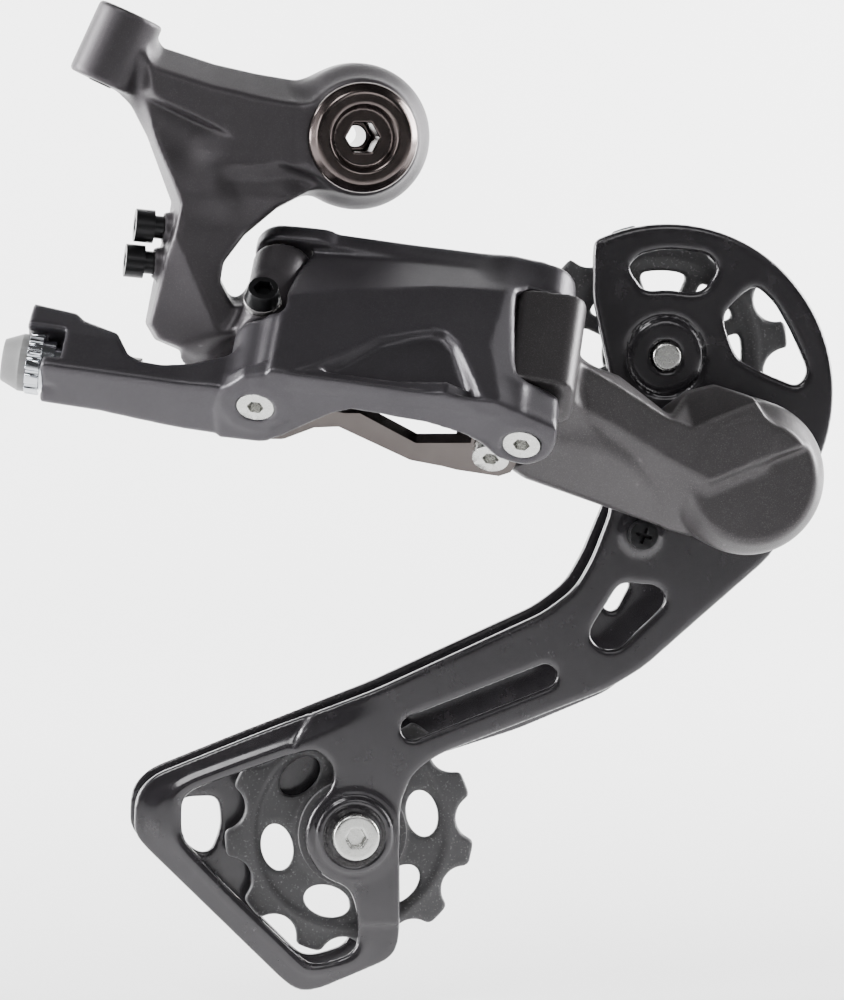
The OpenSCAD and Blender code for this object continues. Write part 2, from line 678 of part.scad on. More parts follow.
module tension_pulley() color("#1f1f21") union() {
  slab(pulley_mid - tooth_t / 2, pulley_mid + tooth_t / 2) translate(tension_at) difference() {
    toothed(tension_tip_r, 103);
    circle(r = 8);
    for (i = [0 : 5]) rotate(i * 60 + 12) translate([12.7, 0]) scale([0.62, 1]) circle(r = 4.2, $fn = hull_fn);
  }
  pulley_hub(tension_at);
}

module pulley_bush(at) difference() {
  rod(at, outer_face, inner_face, bush_r);
  rod(at, outer_face - 1, inner_face + 1, bolt_r);
}

module pulley_caps(at) difference() {
  union() {
    rod(at, outer_face + 0.3, pulley_mid - 3.1, 9.4);
    rod(at, pulley_mid + 3.1, inner_face - 0.3, 9.4);
  }
  rod(at, outer_face - 1, inner_face + 1, bush_r);
}

module guide_pulley_bush() color("#8f9092") pulley_bush(guide_at);

module tension_pulley_bush() color("#8f9092") pulley_bush(tension_at);

module guide_pulley_caps() color("#232325") pulley_caps(guide_at);

module tension_pulley_caps() color("#232325") pulley_caps(tension_at);

module guide_pulley_bolt() color("#b9c4cc") difference() {
  union() {
    rod(guide_at, outer_front - 1.8, inner_back + 0.8, bolt_r);
    rod(guide_at, inner_back + 0.8, inner_back + 3.6, 4);
  }
  hex_socket(guide_at, inner_back + 1.8, inner_back + 4, 3);
}

module tension_pulley_bolt() color("#d9d9d6") difference() {
  union() {
    rod(tension_at, outer_front - 0.8, inner_back + 1.4, bolt_r);
    rod(tension_at, outer_front - 3.2, outer_front - 0.8, 4);
  }
  hex_socket(tension_at, outer_front - 4, outer_front - 1.6, 3);
}

hanger_bolt();
stop_washer();
bolt_bushing();
bolt_seal();
b_knuckle();
b_tension_screw();
limit_screw_high();
limit_screw_low();
rear_pivot_bushes();
cable_anchor_bolt();
cable_anchor_washer();
spring_anchor();
return_spring();
outer_link();
outer_rear_pin();
outer_front_pin();
adjuster_nut();
barrel_adjuster();
adjuster_spring();
adjuster_cap();
inner_link();
inner_rear_pin();
inner_front_pin();
p_knuckle();
front_pivot_bushes();
cage_seal();
cage_spring();
cage_axle();
outer_cage_plate();
inner_cage_plate();
cage_stop_screw();
guide_pulley_bolt();
guide_pulley_bush();
guide_pulley_caps();
guide_pulley();
tension_pulley_bolt();
tension_pulley_bush();
tension_pulley_caps();
tension_pulley();
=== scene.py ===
"""Rear bicycle derailleur: detailed castings, materials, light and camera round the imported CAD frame."""
import json
import math

import bpy
import numpy as np
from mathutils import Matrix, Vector


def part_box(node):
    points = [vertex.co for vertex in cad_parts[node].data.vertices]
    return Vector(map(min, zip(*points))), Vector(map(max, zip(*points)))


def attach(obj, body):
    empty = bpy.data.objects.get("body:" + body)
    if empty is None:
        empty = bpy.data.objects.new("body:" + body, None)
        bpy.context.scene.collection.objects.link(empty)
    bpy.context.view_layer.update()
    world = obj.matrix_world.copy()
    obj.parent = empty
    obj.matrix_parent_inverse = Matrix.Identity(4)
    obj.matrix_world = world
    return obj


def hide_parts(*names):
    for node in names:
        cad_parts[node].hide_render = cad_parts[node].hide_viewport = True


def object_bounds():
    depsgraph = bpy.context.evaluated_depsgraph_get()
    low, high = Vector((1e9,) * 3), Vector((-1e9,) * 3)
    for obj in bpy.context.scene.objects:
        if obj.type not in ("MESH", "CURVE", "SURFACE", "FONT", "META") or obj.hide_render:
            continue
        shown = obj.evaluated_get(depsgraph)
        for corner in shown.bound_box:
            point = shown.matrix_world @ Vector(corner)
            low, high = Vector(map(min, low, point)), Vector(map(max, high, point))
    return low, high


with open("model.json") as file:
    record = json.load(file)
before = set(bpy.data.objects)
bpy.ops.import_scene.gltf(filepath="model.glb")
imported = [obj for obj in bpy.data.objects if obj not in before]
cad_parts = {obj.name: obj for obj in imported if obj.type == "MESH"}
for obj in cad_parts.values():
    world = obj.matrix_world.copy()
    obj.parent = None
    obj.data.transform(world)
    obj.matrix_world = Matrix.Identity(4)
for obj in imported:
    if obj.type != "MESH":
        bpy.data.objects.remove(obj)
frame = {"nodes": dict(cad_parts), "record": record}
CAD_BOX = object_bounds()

MM = 0.001
NODES = frame["nodes"]
JOINTS = {j["name"]: j for j in frame["record"]["behaviour"]["joints"]}
FINE = 0.45   # grid steps in mm: castings, pulley bolts, hanger bolt
PULLEY_BOLT_FINE = 0.18
HANGER_BOLT_FINE = 0.2
BOX_MARGIN = 1.5                      # room left round a node's box for its casting, in mm

# ---------------------------------------------------------------- places from the frame, in mm

U = Vector(JOINTS["outer_swing"]["axis"]).normalized()
REAR_EYE = Vector(JOINTS["outer_swing"]["pos_m"]) / MM
FRONT_EYE = Vector(JOINTS["lower_pivot"]["pos_m"]) / MM
ALONG = FRONT_EYE - REAR_EYE
ALONG = ALONG - U * ALONG.dot(U)
LINK_LEN = ALONG.length
ALONG.normalize()
ACROSS = U.cross(ALONG)
REAR_EYE_LEVEL = 15.0                 # height of the joint's point above the pin's outer end
LINK_ORIGIN = REAR_EYE - U * REAR_EYE_LEVEL
TO_ROW = np.array([ALONG, ACROSS, U]).T
CAGE_AXIS = Vector(JOINTS["cage_swing"]["pos_m"]) / MM
INNER = Vector(JOINTS["inner_swing"]["pos_m"]) / MM - LINK_ORIGIN
INNER_AT = (INNER.dot(ALONG), INNER.dot(ACROSS))
FRONT_AT = (LINK_LEN, 0.0)
TAIL = Vector(JOINTS["adjuster_turn"]["pos_m"]) / MM - LINK_ORIGIN
TAIL_AT = (TAIL.dot(ACROSS), TAIL.dot(U))


# ---------------------------------------------------------------- solids as distance fields

def smax(a, b, k):
    """Larger of two distances, with the edge between them rounded over k."""
    h = np.maximum(k - np.abs(a - b), 0.0) / k
    return np.maximum(a, b) + h * h * (k * 0.25)


def smin(a, b, k):
    """Smaller of two distances, with the inner corner between them rounded over k."""
    return -smax(-a, -b, k)


def ramp(v, lo, hi):
    """Rises smoothly from 0 at lo to 1 at hi."""
    t = np.clip((v - lo) / (hi - lo), 0.0, 1.0)
    return t * t * (3.0 - 2.0 * t)


def eased(points, reach):
    """A closed polygon whose corners are turned into short curves."""
    curve = []
    for i, p in enumerate(points):
        p, before = np.array(p), np.array(points[i - 1])
        after = np.array(points[(i + 1) % len(points)])
        a, b = np.linalg.norm(before - p), np.linalg.norm(after - p)
        start = p + (before - p) * min(reach, a * 0.45) / a
        end = p + (after - p) * min(reach, b * 0.45) / b
        curve += [start * (1 - t) ** 2 + p * 2 * t * (1 - t) + end * t * t for t in (0, 0.33, 0.67, 1)]
    return curve


def outline(a, b, points):
    """Signed distance to a closed polygon in the plane of a and b."""
    best = None
    inside = np.ones(np.broadcast(a, b).shape, np.float32)
    count = len(points)
    for i in range(count):
        p, q = points[i], points[i - 1]
        ex, ey = q[0] - p[0], q[1] - p[1]
        wx, wy = a - p[0], b - p[1]
        t = np.clip((wx * ex + wy * ey) / (ex * ex + ey * ey), 0.0, 1.0)
        d = (wx - ex * t) ** 2 + (wy - ey * t) ** 2
        best = d if best is None else np.minimum(best, d)
        above, below = b >= p[1], b < q[1]
        left = ex * wy > ey * wx
        flip = (above & below & left) | (~above & ~below & ~left)
        inside = np.where(flip, -inside, inside)
    return inside * np.sqrt(best)


def radius(a, b, centre):
    return np.sqrt((a - centre[0]) ** 2 + (b - centre[1]) ** 2)


def disc(a, b, centre, r):
    return radius(a, b, centre) - r


def between(v, lo, hi):
    """Signed distance to the slab from lo to hi."""
    return np.abs(v - (lo + hi) / 2) - (hi - lo) / 2


def capsule2d(a, b, p, q, r):
    """Distance to a round-ended bar in a plane."""
    ex, ey = q[0] - p[0], q[1] - p[1]
    wx, wy = a - p[0], b - p[1]
    t = np.clip((wx * ex + wy * ey) / (ex * ex + ey * ey), 0.0, 1.0)
    return np.sqrt((wx - ex * t) ** 2 + (wy - ey * t) ** 2) - r


def rod_between(x, y, z, p, q, r, k=0.4):
    """A round bar from p to q with softened ends."""
    axis = np.array(q, float) - np.array(p, float)
    length = np.linalg.norm(axis)
    axis = axis / length
    along = (x - p[0]) * axis[0] + (y - p[1]) * axis[1] + (z - p[2]) * axis[2]
    dist2 = (x - p[0]) ** 2 + (y - p[1]) ** 2 + (z - p[2]) ** 2 - along ** 2
    return smax(np.sqrt(np.maximum(dist2, 0.0)) - r, between(along, 0.0, length), k)


def plane(x, y, z, p, q, r, inner):
    """Distance to the plane through three points, negative on the inner point's side."""
    p, q, r, inner = (np.array(v, float) for v in (p, q, r, inner))
    n = np.cross(q - p, r - p)
    n = n / np.linalg.norm(n)
    if n @ (inner - p) > 0:
        n = -n
    return (x - p[0]) * n[0] + (y - p[1]) * n[1] + (z - p[2]) * n[2]


def surface_nets(field, lo, hi, step):
    """Mesh of the zero surface of field(x, y, z) inside a box: vertices and quads."""
    axes = [np.arange(a - step * 2.5, b + step * 2.5, step, dtype=np.float32) for a, b in zip(lo, hi)]
    x, y, z = np.meshgrid(*axes, indexing="ij", sparse=True)
    f = np.broadcast_to(field(x, y, z), tuple(len(a) for a in axes)).astype(np.float32)
    s = f < 0
    shape = [n - 1 for n in f.shape]
    offsets = [(i, j, k) for i in (0, 1) for j in (0, 1) for k in (0, 1)]
    total = np.zeros(shape, np.uint8)
    for i, j, k in offsets:
        total += s[i:i + shape[0], j:j + shape[1], k:k + shape[2]]
    mixed = (total > 0) & (total < 8)
    index = np.full(shape, -1, np.int64)
    cells = np.argwhere(mixed)
    index[mixed] = np.arange(len(cells))
    point = np.zeros((len(cells), 3))
    hits = np.zeros(len(cells))
    for corner in offsets:
        for axis in range(3):
            if corner[axis]:
                continue
            start = cells + corner
            end = start.copy()
            end[:, axis] += 1
            a = f[start[:, 0], start[:, 1], start[:, 2]]
            b = f[end[:, 0], end[:, 1], end[:, 2]]
            cut = (a < 0) != (b < 0)
            t = np.where(cut, a / np.where(cut, a - b, 1.0), 0.0)
            where = np.array(corner, float)[None, :].repeat(len(cells), 0)
            where[:, axis] += t
            point += where * cut[:, None]
            hits += cut
    point = cells + point / hits[:, None]
    start = np.array([a[0] for a in axes])
    verts = start + point * step
    quads = []
    for axis in range(3):
        u, v = (axis + 1) % 3, (axis + 2) % 3
        ahead = [slice(None)] * 3
        ahead[axis] = slice(1, None)
        back = [slice(None)] * 3
        back[axis] = slice(None, -1)
        cross = s[tuple(ahead)] != s[tuple(back)]
        keep = np.argwhere(cross)
        keep = keep[(keep[:, u] > 0) & (keep[:, v] > 0) & (keep[:, u] < shape[u]) & (keep[:, v] < shape[v])]
        corners = []
        for du, dv in ((-1, -1), (0, -1), (0, 0), (-1, 0)):
            c = keep.copy()
            c[:, u] += du
            c[:, v] += dv
            corners.append(index[c[:, 0], c[:, 1], c[:, 2]])
        quad = np.stack(corners, 1)
        solid_first = s[keep[:, 0], keep[:, 1], keep[:, 2]]
        quads.append(np.where(solid_first[:, None], quad, quad[:, ::-1]))
    return verts, np.concatenate(quads)


def in_row(verts):
    """Points of the links' frame as points of the row, both in mm."""
    return verts @ TO_ROW.T + np.array(LINK_ORIGIN)


def clear(d, ring, beyond):
    """Takes away the room inside a ring and past a level."""
    return smax(d, -smax(ring, beyond, 0.3), 0.4)


def to_links(x, y, z):
    """Row coordinates as coordinates of the links' frame."""
    dx, dy, dz = x - LINK_ORIGIN[0], y - LINK_ORIGIN[1], z - LINK_ORIGIN[2]
    return [dx * TO_ROW[0, i] + dy * TO_ROW[1, i] + dz * TO_ROW[2, i] for i in range(3)]


# ---------------------------------------------------------------- pieces

def add_piece(name, verts, faces, body, material, node):
    """A mesh in millimetres as a piece that rides a body in place of a CAD node."""
    mesh = bpy.data.meshes.new(name)
    mesh.from_pydata((np.asarray(verts) * MM).tolist(), [], [list(map(int, f)) for f in faces])
    mesh.validate()
    mesh.polygons.foreach_set("use_smooth", [True] * len(mesh.polygons))
    mesh.materials.append(material)
    piece = bpy.data.objects.new(name, mesh)
    bpy.context.scene.collection.objects.link(piece)
    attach(piece, body)
    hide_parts(node)
    return piece


def casting(name, field, lo, hi, body, material, node, slot, links=False, step=None):
    """A casting from its distance field, eased by one light smoothing pass."""
    verts, faces = surface_nets(field, lo, hi, step or FINE)
    if links:
        verts = in_row(verts)
    piece = add_piece(name, verts, faces, body, material, node)
    relax = piece.modifiers.new("relax", "SMOOTH")
    relax.factor = 0.5
    relax.iterations = 1
    return piece


def node_range(name):
    """Box of a CAD node in mm, with a margin."""
    lo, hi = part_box(name)
    return [v / MM - BOX_MARGIN for v in lo], [v / MM + BOX_MARGIN for v in hi]


# ---------------------------------------------------------------- materials

def node_material(name, colour, metallic, rough, spec=0.5, coat=0.0, coat_rough=0.2):
    m = bpy.data.materials.new(name)
    m.use_nodes = True
    tree = m.node_tree
    shader = tree.nodes["Principled BSDF"]
    shader.inputs["Base Color"].default_value = (*colour, 1)
    shader.inputs["Metallic"].default_value = metallic
    shader.inputs["Roughness"].default_value = rough
    shader.inputs["Specular IOR Level"].default_value = spec
    shader.inputs["Coat Weight"].default_value = coat
    shader.inputs["Coat Roughness"].default_value = coat_rough
    return m, tree, shader


def noise(tree, coords, scale, detail=3.0, rough=0.55):
    n = tree.nodes.new("ShaderNodeTexNoise")
    n.inputs["Scale"].default_value = scale
    n.inputs["Detail"].default_value = detail
    n.inputs["Roughness"].default_value = rough
    tree.links.new(coords, n.inputs["Vector"])
    return n


def span(tree, value, lo, hi, out_lo, out_hi):
    """Maps a value from one range to another."""
    m = tree.nodes.new("ShaderNodeMapRange")
    for key, v in (("From Min", lo), ("From Max", hi), ("To Min", out_lo), ("To Max", out_hi)):
        m.inputs[key].default_value = v
    tree.links.new(value, m.inputs["Value"])
    return m.outputs["Result"]


def mix_colours(tree, factor, a, b):
    m = tree.nodes.new("ShaderNodeMix")
    m.data_type = "RGBA"
    m.inputs["A"].default_value = (*a, 1)
    m.inputs["B"].default_value = (*b, 1)
    tree.links.new(factor, m.inputs["Factor"])
    return m.outputs["Result"]


def layer(tree, factor, under, colour):
    """Lays a plain colour over the colour of another node."""
    m = tree.nodes.new("ShaderNodeMix")
    m.data_type = "RGBA"
    m.inputs["B"].default_value = (*colour, 1)
    tree.links.new(under, m.inputs["A"])
    tree.links.new(factor, m.inputs["Factor"])
    return m.outputs["Result"]


def clouded(tree, at, scale, a, b):
    """Soft clouds that run from one colour to another."""
    cloud = noise(tree, at, scale, 4.0, 0.6)
    return mix_colours(tree, span(tree, cloud.outputs["Fac"], 0.3, 0.7, 0.0, 1.0), a, b)


def vary_roughness(tree, shader, pattern, lo, hi, out_lo, out_hi):
    tree.links.new(span(tree, pattern.outputs["Fac"], lo, hi, out_lo, out_hi), shader.inputs["Roughness"])


def bump(tree, height, strength, distance, shader):
    b = tree.nodes.new("ShaderNodeBump")
    b.inputs["Strength"].default_value = strength
    b.inputs["Distance"].default_value = distance
    tree.links.new(height, b.inputs["Height"])
    tree.links.new(b.outputs["Normal"], shader.inputs["Normal"])


def object_coords(tree):
    return tree.nodes.new("ShaderNodeTexCoord").outputs["Object"]


def edge_highlight_mask(tree, lo, hi):
    """Grows from 0 to 1 on outward edges, where painted edge highlights are laid."""
    g = tree.nodes.new("ShaderNodeNewGeometry")
    return span(tree, g.outputs["Pointiness"], lo, hi, 0.0, 1.0)


def multiply(tree, a, b):
    m = tree.nodes.new("ShaderNodeMath")
    m.operation = "MULTIPLY"
    tree.links.new(a, m.inputs[0])
    tree.links.new(b, m.inputs[1])
    return m.outputs["Value"]


def satin_casting(name, dark, light, rough, sparkle):
    """Anodised, bead-blasted casting: fine metallic sparkle, soft clouds, and paler outward edges in
    patches as painted edge highlights.
    """
    m, tree, shader = node_material(name, dark, 0.55, rough, 0.5)
    at = object_coords(tree)
    fine = noise(tree, at, 6200, 2.0, 0.7)
    patch = noise(tree, at, 420, 3.0, 0.6)
    base = clouded(tree, at, 90, dark, tuple(c * 1.16 for c in dark))
    flake = span(tree, fine.outputs["Fac"], 0.56, 0.72, 0.0, sparkle)
    # paler outward edges in noise patches: a painted edge highlight
    edge_highlight = multiply(tree, edge_highlight_mask(tree, 0.58, 0.7),
                    span(tree, patch.outputs["Fac"], 0.4, 0.65, 0.0, 0.3))
    highlighted = layer(tree, edge_highlight, layer(tree, flake, base, light), [min(1, c * 1.7) for c in light])
    tree.links.new(highlighted, shader.inputs["Base Color"])
    vary_roughness(tree, shader, fine, 0.3, 0.75, rough + 0.08, rough - 0.1)
    bump(tree, fine.outputs["Fac"], 0.35, 0.00006, shader)
    return m


def satin_black(name, colour, rough, coat, metallic=0.4):
    """Black anodised sheet: smooth, slightly orange-peeled, with faint handling marks in its roughness and
    paler outward edges in patches as painted edge highlights.
    """
    m, tree, shader = node_material(name, colour, metallic, rough, 0.5, coat, 0.12)
    at = object_coords(tree)
    peel = noise(tree, at, 900, 2.0, 0.5)
    scuffs_and_sheen_patches = noise(tree, at, 260, 6.0, 0.7)
    tint = clouded(tree, at, 60, colour, tuple(c * 1.15 for c in colour))
    # grey on outward edges in noise patches: a painted edge highlight
    edge_highlight = multiply(tree, edge_highlight_mask(tree, 0.62, 0.78),
                    span(tree, scuffs_and_sheen_patches.outputs["Fac"], 0.45, 0.7, 0.0, 0.22))
    tree.links.new(layer(tree, edge_highlight, tint, (0.16, 0.16, 0.17)), shader.inputs["Base Color"])
    vary_roughness(tree, shader, scuffs_and_sheen_patches, 0.35, 0.7, rough - 0.05, rough + 0.09)
    bump(tree, peel.outputs["Fac"], 0.12, 0.00004, shader)
    return m


MOTTLE = 0.12                         # how much darker the mottling of plated steel gets


def plated(name, colour, rough, streak=1400.0):
    """Plated or ground steel with fine turning lines and faint mottling."""
    m, tree, shader = node_material(name, colour, 1.0, rough, 0.5)
    at = object_coords(tree)
    fine = noise(tree, at, streak, 3.0, 0.6)
    tint = clouded(tree, at, 180, tuple(c * (1 - MOTTLE) for c in colour), colour)
    tree.links.new(tint, shader.inputs["Base Color"])
    vary_roughness(tree, shader, fine, 0.3, 0.7, rough * 0.88, rough * 1.15)
    bump(tree, fine.outputs["Fac"], 0.05, 0.00003, shader)
    return m


def moulded(name, colour, rough, speck=0.0):
    """Moulded plastic: a fine spark-eroded grain, with paler specks where it is filled."""
    m, tree, shader = node_material(name, colour, 0.0, rough, 0.45)
    at = object_coords(tree)
    grain = noise(tree, at, 1100.0, 3.0, 0.6)
    tint = clouded(tree, at, 120, colour, tuple(min(1, c * 1.25) for c in colour))
    if speck:
        dots = noise(tree, at, 2600, 2.0, 0.6)
        tint = layer(tree, span(tree, dots.outputs["Fac"], 0.6, 0.72, 0.0, speck), tint, (0.3, 0.3, 0.3))
    tree.links.new(tint, shader.inputs["Base Color"])
    vary_roughness(tree, shader, grain, 0.3, 0.7, rough - 0.06, rough + 0.08)
    bump(tree, grain.outputs["Fac"], 0.25, 0.00005, shader)
    return m


MATERIALS = {
    "bolt_black": plated("black_nickel", (0.13, 0.108, 0.104), 0.22, 500.0),
    "washer_steel": plated("dark_zinc", (0.27, 0.26, 0.26), 0.35),
    "bushing": plated("bronze", (0.55, 0.44, 0.26), 0.35),
    "seal": moulded("rubber", (0.02, 0.02, 0.02), 0.6),
    "upper_cast": satin_casting("upper_casting", (0.043, 0.039, 0.043), (0.18, 0.17, 0.18), 0.44, 0.2),
    # the link casting's base is a little darker than the knuckles': painted shade for its shadowed recesses
    "link_cast": satin_casting("link_casting", (0.04, 0.037, 0.042), (0.22, 0.21, 0.23), 0.34, 0.34),
    "lower_cast": satin_casting("lower_casting", (0.042, 0.039, 0.041), (0.22, 0.205, 0.21), 0.38, 0.4),
    "black_screw": satin_black("black_oxide", (0.012, 0.012, 0.013), 0.32, 0.0, 0.7),
    "zinc": plated("bright_zinc", (0.62, 0.62, 0.6), 0.26),
    "nickel_plate": plated("dark_nickel", (0.1, 0.088, 0.084), 0.2, 500.0),
    "spring_steel": plated("spring_wire", (0.62, 0.62, 0.62), 0.22),
    "chrome_ring": plated("chrome", (0.66, 0.68, 0.72), 0.12),
    "cap_grey": moulded("grey_cap", (0.17, 0.17, 0.17), 0.5),
    "cage_black": satin_black("cage_anodise", (0.025, 0.023, 0.026), 0.22, 0.4),
    "pulley_black": moulded("pulley_plastic", (0.03, 0.029, 0.031), 0.45, 0.3),
    "axle_steel": plated("ground_steel", (0.62, 0.63, 0.66), 0.18),
}
SLOT_OF = {s["node"]: s["material_slot"] for s in frame["record"]["subparts"]}

# ---------------------------------------------------------------- upper (B) knuckle

ARM = [(-40, 16), (-35.5, 17.5), (-32.6, 15), (-24, 12.2), (-17, 10.6), (-10, 9.4), (-4, 9.2), (1, 8),
       (6, 4), (6, -5), (0, -8), (-7, -8.8), (-13.7, -12.2), (-19.3, -16.8), (-22.7, -21.2),
       (-23.2, -24), (-21.4, -27.4), (-17.4, -29.6), (-16.6, -31.4), (-22, -33.5), (-25.6, -36.4),
       (-28, -37), (-34.4, -34.2), (-36, -31.4), (-33.6, -19.4), (-32, -14), (-31.4, -11), (-35.4, 0),
       (-39, 7)]
EYE_R = 5.0
EYE_LEVELS = (15.6, 33.2)
INNER_EYE_LEVELS = (13.4, 25.6)
BORE_R = 3.4
WEB_END = (-11.5, 9)
LIMITS = ((-33.1, -9, -15.2), (-34.8, -9, -21.1))
LIMIT_DIR = np.array(JOINTS["high_limit_travel"]["axis"])
B_TOP, B_LOW = (-38.2, -8, 20.8), (-43.6, -8, 9.2)
ANCHOR_AT = (-1.8, 19.0)
HANGER_BORE_R = 6.8
BOSS_R, BOSS_FLARE, BOSS_LEVELS = 9.9, 2.5, (-13.5, -1.4)
B_BOSS_R, B_BORE_R = 5.7, 2.05
LIMIT_BOSS_R, LIMIT_BORE_R, LIMIT_DEPTH = 2.7, 2.0, 8
# the bar's end, and unit vectors along the bar and down across it, in x and z
BAR_AT = (-38.1, 6.5)
BAR_RUN = np.array([17.0, -8.1]) / 18.83
BAR_FALL = np.array([-8.1, -17.0]) / 18.83
# the crease at the arm's lower end, with the far corners of the two planes that meet there
CREASE = ((-32.0, -14.2, -14.6), (-25.0, -15.7, -32.6))
FACET_CORNER = (-36.4, -9.4, -31)
CHIN_CORNERS = ((-22.0, -15.2, -33.3), (-25.4, -10, -37.4))
IN_ARM = (-20, -8, -20)


def eyes(xl, yl, zl):
    """The two barrels of a knuckle round its pivot pins, in the links' frame, without the web."""
    outer = smax(disc(xl, yl, (0, 0), EYE_R), between(zl, *EYE_LEVELS), 0.5)
    inner = smax(disc(xl, yl, INNER_AT, EYE_R - 0.2), between(zl, *INNER_EYE_LEVELS), 0.5)
    return outer, inner


def cut_rooms(d, xl, yl, zl):
    """Takes away the room for the links' lugs and the bores of the bushes."""
    for at, levels, room in (((0, 0), EYE_LEVELS, EYE_R + 1.0),
                             (INNER_AT, INNER_EYE_LEVELS, EYE_R + 0.8)):
        ring = disc(xl, yl, at, room)
        d = clear(d, ring, zl - levels[0])
        d = clear(d, ring, levels[1] - zl)
        d = np.maximum(d, -disc(xl, yl, at, BORE_R))
    return d


def upper_knuckle(x, y, z):
    """The B-knuckle, in the row's frame."""
    flat = outline(x, z, ARM)
    slope = 0.1 + 0.45 * ramp(z, -1, 7)
    side = flat + slope * np.clip(-6 - y, 0, 8)
    # front face, with the pocket under the bar, the ridge and the wedge beside the boss
    front = -13.0 - 0.1 * np.clip(-z - 2, 0, 40) - 0.5 * ramp(x, -22, -12)
    s = (x - BAR_AT[0]) * BAR_RUN[0] + (z - BAR_AT[1]) * BAR_RUN[1]
    t = (x - BAR_AT[0]) * BAR_FALL[0] + (z - BAR_AT[1]) * BAR_FALL[1]
    front = front + 3.0 * ramp(t, -1.8, -0.9) * (1 - ramp(t, 0.0, 11)) * (1 - ramp(s, 10, 19))
    ridge = (x + 26.7) * 0.94 + (z + 4.5) * 0.34
    front = front + 1.5 * ramp(ridge, -0.4, 5) * ramp(-z, 4, 8) * (1 - ramp(-z, 19, 27))
    hollow = x + 32.0 + 0.389 * (z + 14.6)
    front = front + 0.22 * np.clip(hollow, 0, 9) * ramp(-z, 9, 16)
    wedge = (x + 17.8) * 0.36 + (z + 2.4) * 0.93
    front = front + 1.5 * ramp(-wedge, 0.0, 0.9) * (1 - ramp(-wedge, 1.0, 6.5)) * ramp(x, -17, -9)
    body = smax(side, (front - y) * 0.93, 0.7)
    back = -3.4 - 1.2 * ramp(-z, 9, 14)
    body = smax(body, y - back, 0.8)
    facet = plane(x, y, z, *CREASE, FACET_CORNER, IN_ARM)
    chin = plane(x, y, z, CREASE[1], *CHIN_CORNERS, IN_ARM)
    body = smax(smax(body, facet, 0.3), chin, 0.5)
    # boss round the hanger bolt: its flank opens towards the hanger
    flank = BOSS_R + BOSS_FLARE * ramp(y, -13.6, -7.0)
    boss = smax((np.sqrt(x * x + z * z) - flank) * 0.93, between(y, *BOSS_LEVELS), 0.9)
    d = smin(body, boss, 2.2)
    d = smin(d, rod_between(x, y, z, B_TOP, B_LOW, B_BOSS_R, 0.7), 2.4)
    for at in LIMITS:
        low = np.array(at) - LIMIT_DIR * LIMIT_DEPTH
        high = np.array(at) + LIMIT_DIR * 0.2
        d = smin(d, rod_between(x, y, z, low, high, LIMIT_BOSS_R, 0.4), 0.7)
    xl, yl, zl = to_links(x, y, z)
    outer, second = eyes(xl, yl, zl)
    web = capsule2d(xl, yl, (0, 0), INNER_AT, 4.4)
    for at in (INNER_AT, (0, 0)):
        web = np.minimum(web, capsule2d(xl, yl, at, WEB_END, 3.2))
    web = smax(smax(web, between(zl, 16.4, 25.6), 0.6), np.maximum(facet, chin), 0.4)
    lug = smin(smin(outer, web, 1.6), second, 1.6)
    d = smin(d, lug, 1.4)
    pad = smax(disc(xl, zl, ANCHOR_AT, 3.0), between(yl, -4.6, 3), 0.3)
    d = smin(d, pad, 0.8)
    d = cut_rooms(d, xl, yl, zl)
    d = np.maximum(d, -disc(x, z, (0, 0), HANGER_BORE_R))
    high, low = np.array(B_TOP) + (1, 0, 2), np.array(B_LOW) - (1, 0, 2)
    d = np.maximum(d, -rod_between(x, y, z, high, low, B_BORE_R))
    for at in LIMITS:
        low, high = np.array(at) - LIMIT_DIR * LIMIT_DEPTH, np.array(at) + LIMIT_DIR * 2
        d = np.maximum(d, -rod_between(x, y, z, low, high, LIMIT_BORE_R))
    return d


# ---------------------------------------------------------------- outer link

TOP = 37.6
REAR_LUG_TOP = 15.2
FRONT_LUG_TOP = 8.6
FRONT_EYE_R = 5.4
P_EYE_TOP = 29.6
P_ROOM_TOP = P_EYE_TOP + 0.4          # underside of the link over the front barrel
UPPER_LUG_LOW = TOP - 3.6             # underside of the link over the rear barrel
PIN_BORE_R, PIN_HEAD_R, PIN_HEAD_DEPTH = 2.5, 3.15, 2.2
WALL_THICK, FLANGE_TOP = 3.4, 3
BARREL_BORE_R = 3.45
FLANGE = [(-5.6, 9), (-6.6, 2), (-5.4, -3), (-2.6, -6.6), (1.4, -8.2), (6.8, -8.6), (12.3, -7.9),
          (23, -8.1), (28, -9), (31, -9.6), (36.5, -7.4), (40.8, -5.2), (45.4, -4.6), (49.4, -3.2),
          (49.8, -1), (48.6, 2.2), (45.6, 4.4), (40.8, 3.9), (35.8, 0), (28.9, -1.7), (16, -2.5),
          (12.6, -0.6), (8.5, 3.1), (4.6, 6.8), (1, 8.4)]
WALL = [(1.6, 0), (1.6, 14), (2.4, 16), (2.2, 20), (3.2, 28), (3.2, 33), (4, 37.4), (14, 36.2),
        (18, 36.2), (31, 37.6), (38, 37.2), (44, 36.2), (49.0, 34.4), (49.6, 30), (42, 30), (40, 28),
        (40.2, 24), (41.6, 12), (42.2, 9.6), (44, 8.4), (49.4, 8), (50, 0)]
RECESS = [(5, 0.6), (8.6, 2.8), (12.8, 6.2), (18.8, 11.8), (24, 14.3), (27, 15.4), (29.6, 15.2),
          (31.8, 12.8), (34.3, 7.2), (37, 0.6)]
TAIL_TOP = [(-39.9, 8.7), (-39.7, 14.9), (-32.0, 13.9), (-30.5, 12.3), (-24.6, 10.3), (-23.4, 7.9),
            (-22.2, 5.8), (-20.1, 4.6), (-16.6, 4.4), (-11.5, 5.6), (-7, 7.6), (-3, 9.4), (4, 9.4),
            (4, 0), (-36.2, 0), (-36.2, 8.7)]
